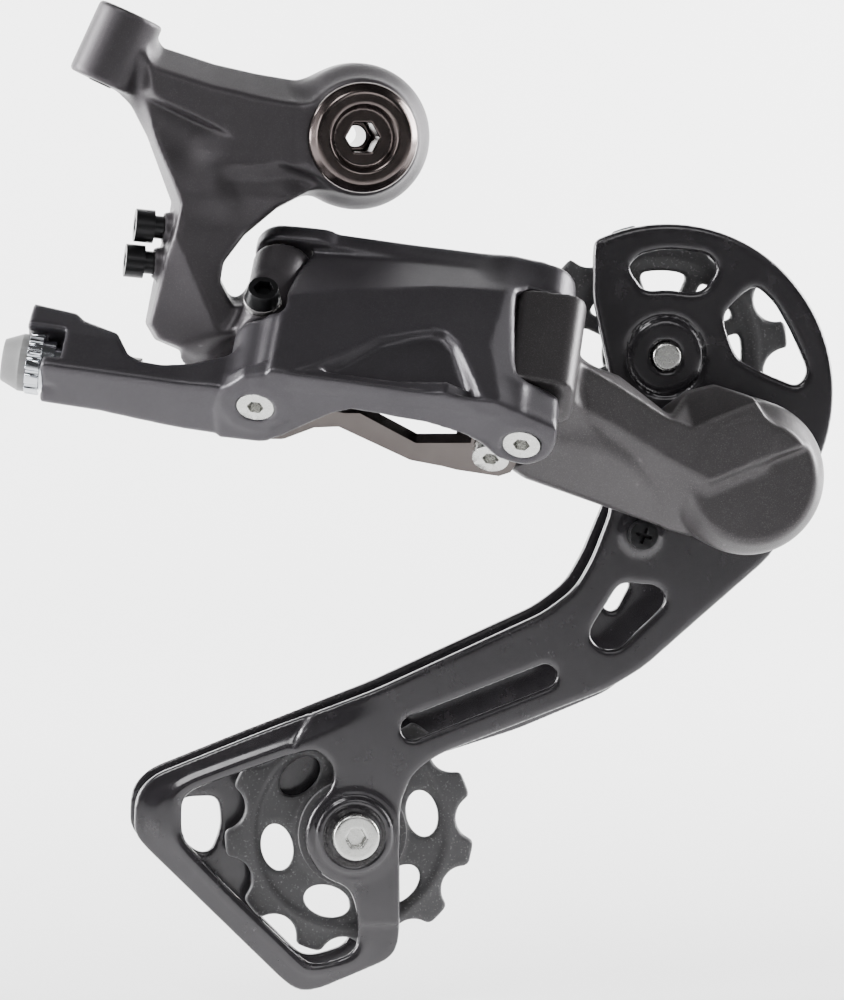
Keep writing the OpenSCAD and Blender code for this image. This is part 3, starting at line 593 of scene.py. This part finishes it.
TAIL_END, ROOF_REACH = -36.2, 3.7     # end of the tail, and how far its roof stands beyond
RING_R, RING_INNER_R = 5.1, 4.2


CREASE_LEVELS = ((2, 12, 26, 33, 41), (18.3, 21.6, 25.4, 26.4, 27.0))
TURN_STARTS = ((2, 14, 30), (39.6, 36.8, 38.4))


def outer_link(x, y, z):
    """The outer link with its tail, in the links' frame."""
    crease = np.interp(x, *CREASE_LEVELS).astype(np.float32)
    lean = 0.15 + 0.13 * (1 - ramp(x, 34, 42))
    face = -9.2 + 0.065 * np.clip(z, 2, 60) - 0.13
    face = face + lean * np.clip(z - crease, 0, 40)
    inside = outline(x, z, RECESS)
    dish = ramp(-inside, -0.3, 1.5) * (1.2 + 1.4 * ramp(-z, -15, -1))
    face = face + dish
    # the wall turns inboard towards the front opening
    turn = np.clip(x - np.interp(z, *TURN_STARTS), 0, 20)
    face = face + 0.42 * turn
    skin = smax(outline(x, z, WALL), (face - y) * 0.95, 0.8)
    wall = smax(skin, y - face - WALL_THICK + 0.6 * dish, 0.5)
    flange = smax(outline(x, y, FLANGE), between(z, 0, FLANGE_TOP), 0.6)
    rear = smax(disc(x, y, (0, 0), EYE_R + 0.5), between(z, 0, REAR_LUG_TOP), 1.2)
    block = smax(between(x, 0, 5), between(y, -7.4, 2), 1.6)
    rear = smin(rear, smax(block, between(z, 0, REAR_LUG_TOP), 1.0), 2.0)
    front = smax(disc(x, y, FRONT_AT, EYE_R + 0.2), between(z, 0, FRONT_LUG_TOP), 1.0)
    block = smax(between(x, 36, 43.5), between(y, -7.2, 0), 1)
    front = smin(front, smax(block, between(z, 0, FRONT_LUG_TOP - 1), 1.4), 1.6)
    roof = smax(between(x, 3, 44), between(y, -4.6, 4), 1)
    roof = np.minimum(capsule2d(x, y, (0, 0), (6, -0.4), EYE_R), roof)
    top = smax(roof, between(z, UPPER_LUG_LOW, TOP), 0.8)
    cap = smax(capsule2d(x, y, (37, -0.6), FRONT_AT, EYE_R + 0.2), between(z, P_ROOM_TOP, TOP - 0.5), 1.2)
    rise = np.clip(z - 8, 0, 9)
    tail_y = smax(-2.6 - y + 0.14 * rise - 0.5 * ramp(x, -14, -6), y - 8.9 + 0.7 * rise, 1.2)
    tail = smax(smax(outline(x, z, TAIL_TOP), tail_y, 1.0), TAIL_END - ROOF_REACH - x, 0.5)
    tail = smax(tail, -z, 0.8)
    under = 0.9 - 0.1 * np.clip(-x - 12, 0, 14)
    tail = smax(tail, y - 8.2 - under - 0.02 * x, 0.8)
    tail = smax(tail, x - 3.0, 1.0)
    d = smin(smin(wall, flange, 0.5), front, 1.2)
    d = smin(d, smin(rear, tail, 1.6), 0.9)
    d = smin(d, smin(top, cap, 1.0), 1.4)
    # room for the knuckles' barrels, then bores, countersinks and the adjuster's seat
    d = clear(d, disc(x, y, (0, 0), EYE_R + 0.7), between(z, REAR_LUG_TOP, UPPER_LUG_LOW))
    d = clear(d, disc(x, y, FRONT_AT, FRONT_EYE_R + 0.6), between(z, FRONT_LUG_TOP, P_ROOM_TOP))
    for at in ((0, 0), FRONT_AT):
        d = np.maximum(d, -disc(x, y, at, PIN_BORE_R))
        d = smax(d, -np.maximum(disc(x, y, at, PIN_HEAD_R), z - PIN_HEAD_DEPTH), 0.25)
    axis = disc(y, z, TAIL_AT, 0)
    for r, end in ((BARREL_BORE_R, -20.0), (RING_INNER_R + 0.2, -34.0), (RING_R + 0.3, TAIL_END)):
        d = smax(d, -np.maximum(axis - r, x - end), 0.3)
    window = smax(between(x, -42, -33.2), smax(between(z, 2.6, 9.2), y - 1, 0.3), 0.5)
    d = smax(d, -window, 0.4)
    trough = smax(capsule2d(y, z, (2.8, 4.6), (2.8, 12), 1.7), between(x, -24, -11), 0.8)
    d = smax(d, -trough, 0.5)
    return d


# ---------------------------------------------------------------- lower (P) knuckle

P_ARM = [(30, -38), (33, -35.6), (36.2, -37.6), (43, -40.2), (51.5, -46.9), (56, -43.6), (61, -42.4),
         (66, -44), (70, -50), (66, -66), (56.4, -68.2), (52.6, -66.9), (42.4, -63.2), (28, -58),
         (24.2, -55.4), (24, -48)]
RIDGE = ((20, 27, 33.7, 41.5, 51, 58, 65.3, 73, 80),
         (-38.6, -41.7, -44.1, -48.4, -54.3, -58, -55.2, -52.5, -50))
CROOK = ((30, 32.2, 38.5, 44.8, 48.7, 50.7, 51.9, 53),
         (-47.2, -47.3, -48.3, -53.1, -58.2, -62.9, -66.4, -70))
P_EYE_LOW = FRONT_LUG_TOP + 0.4
UPPER = ((20, 30, 34.9, 42.4, 50.3, 55.4, 65.3, 68.4, 80),
         (-33, -35, -37.4, -41.8, -46.9, -48.8, -45, -43.6, -43))


BAND = ((24, 45, 58, 66, 80), (-25.5, -23.2, -21.4, -21.2, -20.8))
TOE = [(56, -58), (62, -68), (52.6, -66.7), (51.8, -64.4)]
CAGE_AT = (CAGE_AXIS[0], CAGE_AXIS[2])
HOUSING_R, SPRING_ROOM_R, AXLE_BORE_R = 13.3, 10.9, 5.05
SPRING_ROOM_FRONT, AXLE_BORE_FRONT = -16.5, -18.8
P_WEB_END = (7.5, 12)


def lower_knuckle(x, y, z):
    """The P-knuckle with its spring housing, in the row's frame."""
    r = radius(x, z, CAGE_AT)
    ridge = np.interp(x, *RIDGE).astype(np.float32)
    upper = np.interp(x, *UPPER).astype(np.float32)
    below, above = np.clip(ridge - z, 0, 40), np.clip(z - upper, 0, 40)
    crook = np.interp(x, *CROOK).astype(np.float32)
    band = np.interp(x, *BAND).astype(np.float32)
    steep = np.clip(ridge - np.maximum(z, crook), 0, 40)
    arm_front = band + 0.75 * steep + 0.12 * np.clip(crook - z, 0, 40) + 1.6 * above
    cap_front = band + 1.7 * ramp(below, 0.0, 1.4) + 0.8 * above
    housing = smax((r - HOUSING_R + 2.9 * ramp(-y, 14.6, 21.4)) * 0.9, between(y, -22, -3.2), 0.7)
    housing = smax(housing, (cap_front - y) * 0.8, 0.8)
    arm = smax(outline(x, z, P_ARM), (arm_front - y) * 0.8, 0.8)
    arm = smax(arm, y + 8.6, 0.8)
    xl, yl, zl = to_links(x, y, z)
    arm = smax(arm, 12.6 - zl, 0.9)
    toe = smax(outline(x, z, TOE), between(y, -12, -4.2), 0.6)
    xf = xl - LINK_LEN
    box = smax(between(xf, -4.4, 7.5), between(yl, -6.2, 4), 3.4)
    outer = smax(smin(disc(xf, yl, (0, 0), FRONT_EYE_R), box, 1.0), between(zl, P_EYE_LOW, P_EYE_TOP), 0.5)
    second = smax(disc(xf, yl, INNER_AT, EYE_R - 0.2), between(zl, *INNER_EYE_LEVELS), 0.5)
    web = capsule2d(xf, yl, (0, 0), INNER_AT, 4.4)
    for at in (INNER_AT, (0, 0)):
        web = np.minimum(web, capsule2d(xf, yl, at, P_WEB_END, 4.2))
    web = smax(web, between(zl, 14.6, 25.6), 0.8)
    d = smin(arm, housing, 0.7)
    d = smin(d, toe, 1.0)
    d = smin(d, smin(outer, smin(web, second, 1.6), 1.6), 1.4)
    d = clear(d, disc(xf, yl, (0, 0), EYE_R + 1.2), zl - P_EYE_LOW)
    d = clear(d, disc(xf, yl, (0, 0), FRONT_EYE_R + 1.2), P_EYE_TOP - zl)
    ring = disc(xf, yl, INNER_AT, EYE_R + 2.4)
    d = clear(d, ring, zl - INNER_EYE_LEVELS[0])
    d = clear(d, ring, INNER_EYE_LEVELS[1] - zl)
    for at in ((0, 0), INNER_AT):
        d = np.maximum(d, -disc(xf, yl, at, BORE_R))
    d = np.maximum(d, -np.maximum(r - SPRING_ROOM_R, SPRING_ROOM_FRONT - y))
    d = np.maximum(d, -np.maximum(r - AXLE_BORE_R, AXLE_BORE_FRONT - y))
    return d


# ---------------------------------------------------------------- bolts

COS_30, COS_45 = 0.866, 0.707
BOLT_HEAD_R, BOLT_FRONT, BOLT_SEAT, BOLT_END = 9.3, -17.0, -13.8, 9.0
BOLT_BEVEL, RECESS_R, RECESS_DEPTH, RECESS_FLARE = 1.5, 5.0, 5.0, 0.9
BOLT_HEX, BOLT_HEX_DEPTH, BOLT_HOLE_R = 5.0, 12.0, 1.8
SHANK_R, THREAD_R, THREAD_PITCH, THREAD_DEPTH = 5.6, 5.0, 1.0, 0.5
BOLT_R, PULLEY_HEAD_R, PULLEY_HEX = 2.45, 4.0, 3.0


def hexagon(x, z, flats):
    """Distance to a hexagon given by its width across flats."""
    a, b = np.abs(x), np.abs(z)
    return np.maximum(b, a * COS_30 + b * 0.5) - flats / 2


def hanger_bolt(x, y, z):
    """The hollow hanger bolt with its thread, in the row's frame."""
    r = np.sqrt(x * x + z * z)
    depth = y - BOLT_FRONT
    head = smax(r - BOLT_HEAD_R, between(y, BOLT_FRONT, BOLT_SEAT), 0.3)
    head = smax(head, (r - BOLT_HEAD_R - depth + BOLT_BEVEL) * COS_45, 0.35)
    recess = r - RECESS_R - RECESS_FLARE * np.clip(RECESS_FLARE - depth, 0, 2)
    head = smax(head, -np.maximum(recess, depth - RECESS_DEPTH), 0.25)
    shank = smax(r - SHANK_R, between(y, BOLT_SEAT - 1, 0.0), 0.2)
    turn = y / THREAD_PITCH - np.arctan2(z, x) / (2 * math.pi)
    groove = np.abs(turn - np.floor(turn) - 0.5) * 2
    lead_in = np.clip(y - BOLT_END + 0.9, 0, 1)
    thread = smax(r - THREAD_R + THREAD_DEPTH * ramp(1 - groove, 0.35, 0.9) + lead_in,
                  between(y, -1.0, BOLT_END), 0.2)
    d = np.minimum(np.minimum(head, shank), thread)
    d = smax(d, -np.maximum(hexagon(x, z, BOLT_HEX), depth - BOLT_HEX_DEPTH), 0.15)
    return smax(d, BOLT_HOLE_R - r, 0.2)


def pulley_bolt(at, shank, head, socket):
    """Bolt of a pulley: its shank, head and hex socket lie between pairs of levels along Y."""
    def field(x, y, z):
        px, pz = x - at[0], z - at[1]
        r = np.sqrt(px * px + pz * pz)
        rod = smax(r - BOLT_R, between(y, *shank), 0.5)
        d = smin(rod, smax(r - PULLEY_HEAD_R, between(y, *head), 0.5), 0.2)
        return smax(d, -np.maximum(hexagon(px, pz, PULLEY_HEX), between(y, *socket)), 0.2)
    return field


# ---------------------------------------------------------------- cage plates

OUTER_FRONT, OUTER_FACE = -2.5, -0.5
INNER_FACE, INNER_BACK = 8.5, 10.5
GUIDE = (54.0, -38.0)
TENSION = (0.0, -120.0)
STOP = (49.8, -68.6)
HEAD_AT, HEAD_R = (54.3, -44.6), 29.3
HEAD = [(HEAD_AT[0] + HEAD_R * math.cos(math.radians(a)), HEAD_AT[1] + HEAD_R * math.sin(math.radians(a)))
        for a in range(116, -27, -4)]
PLATE = [(44.2, -41), (41.4, -28), *HEAD, (78, -65.4), (72, -73.4), (60, -83.6), (50.5, -91.8),
         (44.2, -95.5), (28.8, -101.2), (14.5, -106.4), (10.2, -109.6), (8, -114.4), (8, -138),
         (6.8, -141.6), (-6.2, -147), (-9.4, -147.2), (-12, -145.4), (-36.4, -121), (-37.8, -118.6),
         (-37.4, -112.4), (-34.4, -109.2), (-18, -102.9), (4, -94.8), (33, -82), (38.4, -78),
         (41.4, -72.8), (44.6, -64.6)]
TRIANGLE = [(-29.6, -113.6), (-28, -111.8), (-19.9, -109), (-10, -105.8), (-6.5, -105), (-3.6, -107.6),
            (-3.4, -111.4), (-7.6, -116), (-8.6, -120), (-7.6, -124.2), (-5.2, -127.4), (-0.8, -129),
            (0.6, -133), (0.8, -139), (-0.6, -141), (-5.4, -142.4), (-8, -142.2), (-20.8, -129.6),
            (-29.6, -120)]
HEAD_WINDOW = [(47.4, -22.6), (49.6, -20.4), (54.6, -19.6), (61.4, -20.4), (63.4, -22.8), (61.4, -26.4),
               (59, -27.3), (54.2, -26.6), (50.4, -27)]
SIDE_WINDOW = [(64, -31), (68.4, -26.6), (70.2, -26.2), (73.2, -29), (76, -33.8), (79.2, -41),
               (77.4, -43.6), (72, -41.4), (66.6, -38.6), (65, -34.8)]
ARM_WINDOW = [(46.2, -77), (52.8, -77.6), (54.3, -79.8), (53.6, -81.6), (46.2, -88.4), (43.8, -88.8),
              (41.4, -87.2), (41, -85.2)]
INNER_PLATE = [(64, -62), (56, -52), (46, -62), (41.4, -72.8), (38.4, -78), (33, -82), (4, -94.8),
               (-18, -102.9), (-34.4, -109.2), (-37.4, -112.4), (-37.8, -118.6), (-36.4, -121),
               (-12, -145.4), (-9.4, -147.2), (-6.2, -147), (6.8, -141.6), (8, -138), (8, -114.4),
               (10.2, -109.6), (14, -108.4), (30, -103.6), (46, -97.2), (62, -84)]
INNER_REAR_WINDOW = [(-28.6, -114.8), (-22.6, -114.6), (-22.2, -119.2), (-23.8, -123.6),
                     (-25.8, -123.6), (-28.6, -121)]
INNER_WINDOW = [(-16.4, -117.4), (-14.6, -115.7), (-8.4, -115.7), (-8.6, -120), (-7.6, -124.2),
                (-5.2, -127.4), (-0.8, -129), (0.6, -133), (0.8, -139), (-0.6, -141), (-5.4, -142.4),
                (-8, -142.2), (-16.4, -133.8)]

PLATE_EASE, WINDOW_EASE = 2.2, 1.6
PLATE, TRIANGLE, INNER_PLATE = (eased(points, PLATE_EASE) for points in (PLATE, TRIANGLE, INNER_PLATE))
HEAD_WINDOW, SIDE_WINDOW, ARM_WINDOW = (
    eased(points, WINDOW_EASE) for points in (HEAD_WINDOW, SIDE_WINDOW, ARM_WINDOW))
INNER_REAR_WINDOW, INNER_WINDOW = (
    eased(points, WINDOW_EASE) for points in (INNER_REAR_WINDOW, INNER_WINDOW))


OUTER_SLOT = ((10.2, -101.6), (33.2, -93), 2.0)
INNER_SLOT = ((46.6, -81.6), (48.2, -78.6), 1.5)
GUIDE_STRAP = (GUIDE, (58, -58), 7.2)
LAND_AT = (8.4, -112)                 # centre of the arc where the triangle's frame steps back
BOLT_HOLES = ((TENSION, 2.5), (GUIDE, 2.5), (STOP, 1.6))
AXLE_HOLE_R = 5.0


def emboss(r, at, width, height):
    """A smooth ring of the given height at radius at."""
    return height * np.exp(-((r - at) / width) ** 2)


def outer_cage(x, y, z):
    """The stamped outer cage plate, in the row's frame."""
    edge = outline(x, z, PLATE)
    triangle = outline(x, z, TRIANGLE)
    holes = triangle
    for window in (HEAD_WINDOW, SIDE_WINDOW, ARM_WINDOW):
        holes = smin(holes, outline(x, z, window), 0.3)
    holes = np.minimum(holes, capsule2d(x, z, *OUTER_SLOT))
    # the triangle's frame is stepped back from the land round the pulley bolt
    rear = ramp(radius(x, z, LAND_AT), 19.7, 20.7) * ramp(-x, -2, 6)
    low = ramp(-z, 135.2, 136.2) * ramp(-x, -9.5, -6)
    frame_part = np.maximum(rear, low)
    front = OUTER_FRONT + 0.85 * frame_part
    rolled = ramp(edge + 4.2, 0.0, 3.4) * ramp(-x, -6, 14)
    front = front + 1.1 * rolled
    swell = (1 - ramp(np.abs(triangle - 1.6), 0.0, 1.2)) * frame_part
    front = front - 0.3 * swell
    r = radius(x, z, TENSION)
    front = front - 0.8 * (1 - ramp(r, 6.3, 6.9)) + 0.55 * (1 - ramp(r, 4.7, 5.6))
    front = front - emboss(r, 7.6, 0.35, 0.25)
    r = radius(x, z, GUIDE)
    front = front + emboss(r, 6.75, 0.3, 0.55) - 0.35 * (1 - ramp(r, 6.2, 6.6))
    front = front - 0.6 * (1 - ramp(radius(x, z, STOP), 3.2, 3.9))
    back = np.maximum(OUTER_FACE, front + 1.5)
    back = np.minimum(back, OUTER_FACE + 0.9 * frame_part + 0.9 * rolled)
    d = smax(edge, -holes, 0.3)
    d = smax(d, front - y, 0.8)
    d = smax(d, y - back, 0.5)
    for at, r in (*BOLT_HOLES, (CAGE_AT, AXLE_HOLE_R)):
        d = np.maximum(d, -disc(x, z, at, r))
    return d


def inner_cage(x, y, z):
    """The stamped inner cage plate, in the row's frame."""
    edge = outline(x, z, INNER_PLATE)
    edge = smin(edge, capsule2d(x, z, *GUIDE_STRAP), 2.0)
    holes = np.minimum(outline(x, z, INNER_REAR_WINDOW) - 0.4, outline(x, z, INNER_WINDOW))
    holes = np.minimum(holes, capsule2d(x, z, *INNER_SLOT))
    back = INNER_BACK + 0.8 * (1 - ramp(radius(x, z, TENSION), 5.8, 6.6))
    back = back + 0.8 * (1 - ramp(radius(x, z, GUIDE), 5.4, 6.2))
    back = back - 1.0 * ramp(edge + 3.6, 0.0, 3.2) * ramp(-x, -6, 14)
    d = smax(edge, -holes, 0.3)
    d = smax(d, INNER_FACE - y, 0.5)
    d = smax(d, (y - back) * 0.95, 0.7)
    for at, r in BOLT_HOLES:
        d = np.maximum(d, -disc(x, z, at, r))
    return d


# ---------------------------------------------------------------- pulleys

TEETH, ROLLER_R, CHAIN_PITCH = 11, 3.95, 12.7
PITCH_R = CHAIN_PITCH / 2 / math.sin(math.pi / TEETH)
PULLEY_MID = (OUTER_FACE + OUTER_FRONT) / 2 + 5.5
RIM_HALF, RING_HALF, HUB_HALF = 1.1, 1.4, 2.8       # half widths along the axle
HUB_R, WHEEL_BORE_R = 8.2, 4.05
OVALS, OVAL_TURN, OVAL_RING_R, OVAL_HALVES = 6, 12, 12.9, (2.7, 4.1)
SPOKES, SPOKE_TURN, SPOKE_HALF, SPOKE_RING = 8, 20, 1.35, (8.9, 14.4)


def folded(dx, dz, count, turn):
    """Angle round a centre, folded into the nearest of count equal sectors."""
    step = 2 * math.pi / count
    angle = np.arctan2(dz, dx) - math.radians(turn)
    return angle - step * np.round(angle / step)


def toothed(x, z, centre, tip_r, turn):
    """Outline of a toothed rim, and the distance from its centre."""
    dx, dz = x - centre[0], z - centre[1]
    r = np.sqrt(dx * dx + dz * dz)
    angle = folded(dx, dz, TEETH, turn)
    valley = np.sqrt((r * np.cos(angle) - PITCH_R) ** 2 + (r * np.sin(angle)) ** 2) - ROLLER_R
    return smax(r - tip_r, -valley, 0.9), r


def wheel(centre, tip_r, turn, holes, rim, ring_r=8.4, web=0.75):
    """A pulley: toothed rim, web with holes, a thicker ring round the hub, and the hub."""
    def field(x, y, z):
        flank, r = toothed(x, z, centre, tip_r, turn)
        thin = RIM_HALF - 0.11 * np.clip(r - rim[1], 0, 9)
        half = web + (thin - web) * ramp(r, rim[0], rim[0] + 0.9)
        half = half + (RING_HALF - web) * (1 - ramp(r, ring_r + 1.0, ring_r + 1.9))
        half = half + 0.25 * (1 - ramp(np.abs(r - rim[1] + 1.2), 0.6, 1.0))
        d = smax(flank, np.abs(y - PULLEY_MID) - half, 0.5)
        d = smax(d, -holes(x - centre[0], z - centre[1], r), 0.5)
        hub = smax(r - HUB_R, np.abs(y - PULLEY_MID) - HUB_HALF, 0.5)
        return np.maximum(smin(d, hub, 0.8), WHEEL_BORE_R - r)
    return field


def oval_holes(dx, dz, r):
    """Ovals in a ring, longer round the ring than across it."""
    half, long_half = OVAL_HALVES
    angle = folded(dx, dz, OVALS, OVAL_TURN)
    u, v = r * np.cos(angle) - OVAL_RING_R, r * np.sin(angle)
    return (np.sqrt((u / half) ** 2 + (v / long_half) ** 2) - 1) * half


def spoke_gaps(dx, dz, r):
    """Gaps between straight spokes."""
    spoke = np.abs(r * np.sin(folded(dx, dz, SPOKES, SPOKE_TURN))) - SPOKE_HALF
    return smax(smax(SPOKE_RING[0] - r, r - SPOKE_RING[1], 0.8), -spoke, 1.2)


# ---------------------------------------------------------------- castings in place of CAD nodes

casting("b_knuckle_casting", upper_knuckle, *node_range("b_knuckle"), "upper_knuckle",
        MATERIALS["upper_cast"], "b_knuckle", "upper_cast")
casting("outer_link_casting", outer_link, (-40, -11, -1), (51, 11, 39), "outer_arm",
        MATERIALS["link_cast"], "outer_link", "link_cast", links=True)
casting("p_knuckle_casting", lower_knuckle, *node_range("p_knuckle"), "lower_knuckle",
        MATERIALS["lower_cast"], "p_knuckle", "lower_cast")


BOLT_REACH = 4.2                      # half width of a pulley bolt's grid
# a pulley bolt's place in x and z, then the levels along Y of its shank, head and socket
PULLEY_BOLTS = {
    "tension_pulley_bolt": (TENSION, (-3.4, 11.9), (-5.7, -3.3), (-7.0, -4.1)),
    "guide_pulley_bolt": (GUIDE, (-4.3, 11.4), (11.3, 14.1), (12.3, 15.0)),
}
for name, (at, *levels) in PULLEY_BOLTS.items():
    casting(name + "_turned", pulley_bolt(at, *levels), (at[0] - BOLT_REACH, -6, at[1] - BOLT_REACH),
            (at[0] + BOLT_REACH, 14.3, at[1] + BOLT_REACH), "cage", MATERIALS[SLOT_OF[name]],
            name, SLOT_OF[name], step=PULLEY_BOLT_FINE)
casting("hanger_bolt_turned", hanger_bolt, (-10, -17.5, -10), (10, 9.5, 10), "root",
        MATERIALS["bolt_black"], "hanger_bolt", "bolt_black", step=HANGER_BOLT_FINE)
casting("outer_cage", outer_cage, (-39, -4, -149), (85, 2.5, -14), "cage", MATERIALS["cage_black"],
        "outer_cage_plate", "cage_black")
casting("inner_cage", inner_cage, (-39, 8, -149), (67, 12, -29), "cage", MATERIALS["cage_black"],
        "inner_cage_plate", "cage_black")
casting("tension_wheel", wheel(TENSION, 21.7, 103, oval_holes, (16.2, 18.2)),
        (-23, 0.5, -143), (23, 7.5, -97), "tension_wheel", MATERIALS["pulley_black"],
        "tension_pulley", "pulley_black")
casting("guide_wheel", wheel(GUIDE, 22.7, 90, spoke_gaps, (14.6, 18.0), 7.2, 1.0),
        (31, 0.5, -62), (78, 7.5, -14), "guide_wheel", MATERIALS["pulley_black"],
        "guide_pulley", "pulley_black")

# ---------------------------------------------------------------- CAD pieces that stay, with eased edges

EASED = {"inner_link": 0.35, "adjuster_cap": 0.4, "barrel_adjuster": 0.2}
EDGE = 0.18                           # eased edge of the other pieces, in mm
EDGE_ANGLE = 38                       # edges sharper than this are eased, in degrees
WELD_REACH = 0.002                    # points closer than this are joined, in mm
PLAIN = {"return_spring", "cage_spring", "adjuster_spring"}

for name, part in NODES.items():
    slot = SLOT_OF[name]
    part.data.materials.clear()
    part.data.materials.append(MATERIALS[slot])
    part.data.polygons.foreach_set("use_smooth", [True] * len(part.data.polygons))
    weld = part.modifiers.new("weld", "WELD")
    weld.merge_threshold = WELD_REACH * MM
    if name in PLAIN:
        continue
    ease = part.modifiers.new("ease", "BEVEL")
    ease.width = EASED.get(name, EDGE) * MM
    ease.segments = 3
    ease.limit_method = "ANGLE"
    ease.angle_limit = math.radians(EDGE_ANGLE)
    ease.harden_normals = True
    even = part.modifiers.new("even", "WEIGHTED_NORMAL")
    even.keep_sharp = True

# ---------------------------------------------------------------- floor, light and camera

CENTRE = (CAD_BOX[0] + CAD_BOX[1]) / 2
FLOOR_DROP = 0.004


def backdrop():
    """A pale floor that curves up into a wall behind the object."""
    low = CAD_BOX[0][2] - FLOOR_DROP
    profile = [(-3.0, low)]
    bend, back = 0.6, 1.2
    profile += [(back - bend + bend * math.sin(a), low + bend - bend * math.cos(a))
                for a in [math.radians(i * 6) for i in range(16)]]
    profile.append((back, 3.0))
    width = 4.0
    verts = [(sx * width, y, z) for y, z in profile for sx in (-1, 1)]
    faces = [(2 * i, 2 * i + 1, 2 * i + 3, 2 * i + 2) for i in range(len(profile) - 1)]
    mesh = bpy.data.meshes.new("studio_floor")
    mesh.from_pydata(verts, [], faces)
    mesh.polygons.foreach_set("use_smooth", [True] * len(faces))
    mesh.materials.append(node_material("studio_paper", (0.86, 0.86, 0.86), 0.0, 0.85, 0.2)[0])
    floor = bpy.data.objects.new("studio_floor", mesh)
    bpy.context.scene.collection.objects.link(floor)


def area_light(name, at, size, power, aim):
    """A soft light placed and aimed by offsets from the object's centre, in metres."""
    data = bpy.data.lights.new(name, "AREA")
    data.shape = "RECTANGLE"
    data.size, data.size_y = size
    data.energy = power
    lamp = bpy.data.objects.new(name, data)
    place = CENTRE + Vector(at)
    lamp.location = place
    lamp.rotation_euler = (CENTRE + Vector(aim) - place).to_track_quat("-Z", "Y").to_euler()
    bpy.context.scene.collection.objects.link(lamp)


backdrop()
for light in (("key_top", (-0.35, -0.45, 0.75), (0.3, 0.3), 3.4, (0, 0, 0)),
              ("left_strip", (-0.8, -0.25, 0.05), (0.15, 0.9), 4, (0, 0, 0)),
              ("right_strip", (0.8, -0.15, 0.05), (0.15, 0.9), 4, (0, 0, 0)),
              ("front_fill", (0.2, -1.0, 0.5), (0.5, 0.4), 2.0, (0, 0, 0)),
              ("wall_left", (-0.9, 0.25, 0.3), (0.5, 0.6), 60, (0.1, 1.3, 0.0)),
              ("wall_right", (0.9, 0.25, 0.3), (0.5, 0.6), 60, (-0.1, 1.3, 0.0))):
    area_light(*light)

world = bpy.data.worlds.new("studio")
bpy.context.scene.world = world
world.use_nodes = True
world.node_tree.nodes["Background"].inputs["Color"].default_value = (1, 1, 1, 1)
world.node_tree.nodes["Background"].inputs["Strength"].default_value = 0.06

AZIMUTH, ELEVATION, DISTANCE = math.radians(-8.0), math.radians(5.0), 1.0
LENS = 50.0
VIEW_HEIGHT = 0.1704                     # height of the view at the aim point, in metres
AIM = Vector((0.0111, -0.007, -0.0619))
camera_data = bpy.data.cameras.new("camera")
camera_data.sensor_fit = "VERTICAL"
camera_data.lens = LENS
camera_data.sensor_height = LENS * VIEW_HEIGHT / DISTANCE
camera_data.clip_start = 0.01
camera = bpy.data.objects.new("camera", camera_data)
toward = Vector((math.sin(-AZIMUTH) * math.cos(ELEVATION), math.cos(AZIMUTH) * math.cos(ELEVATION),
                 -math.sin(ELEVATION)))
camera.location = AIM - toward * DISTANCE
camera.rotation_euler = toward.to_track_quat("-Z", "Y").to_euler()
bpy.context.scene.collection.objects.link(camera)
bpy.context.scene.camera = camera
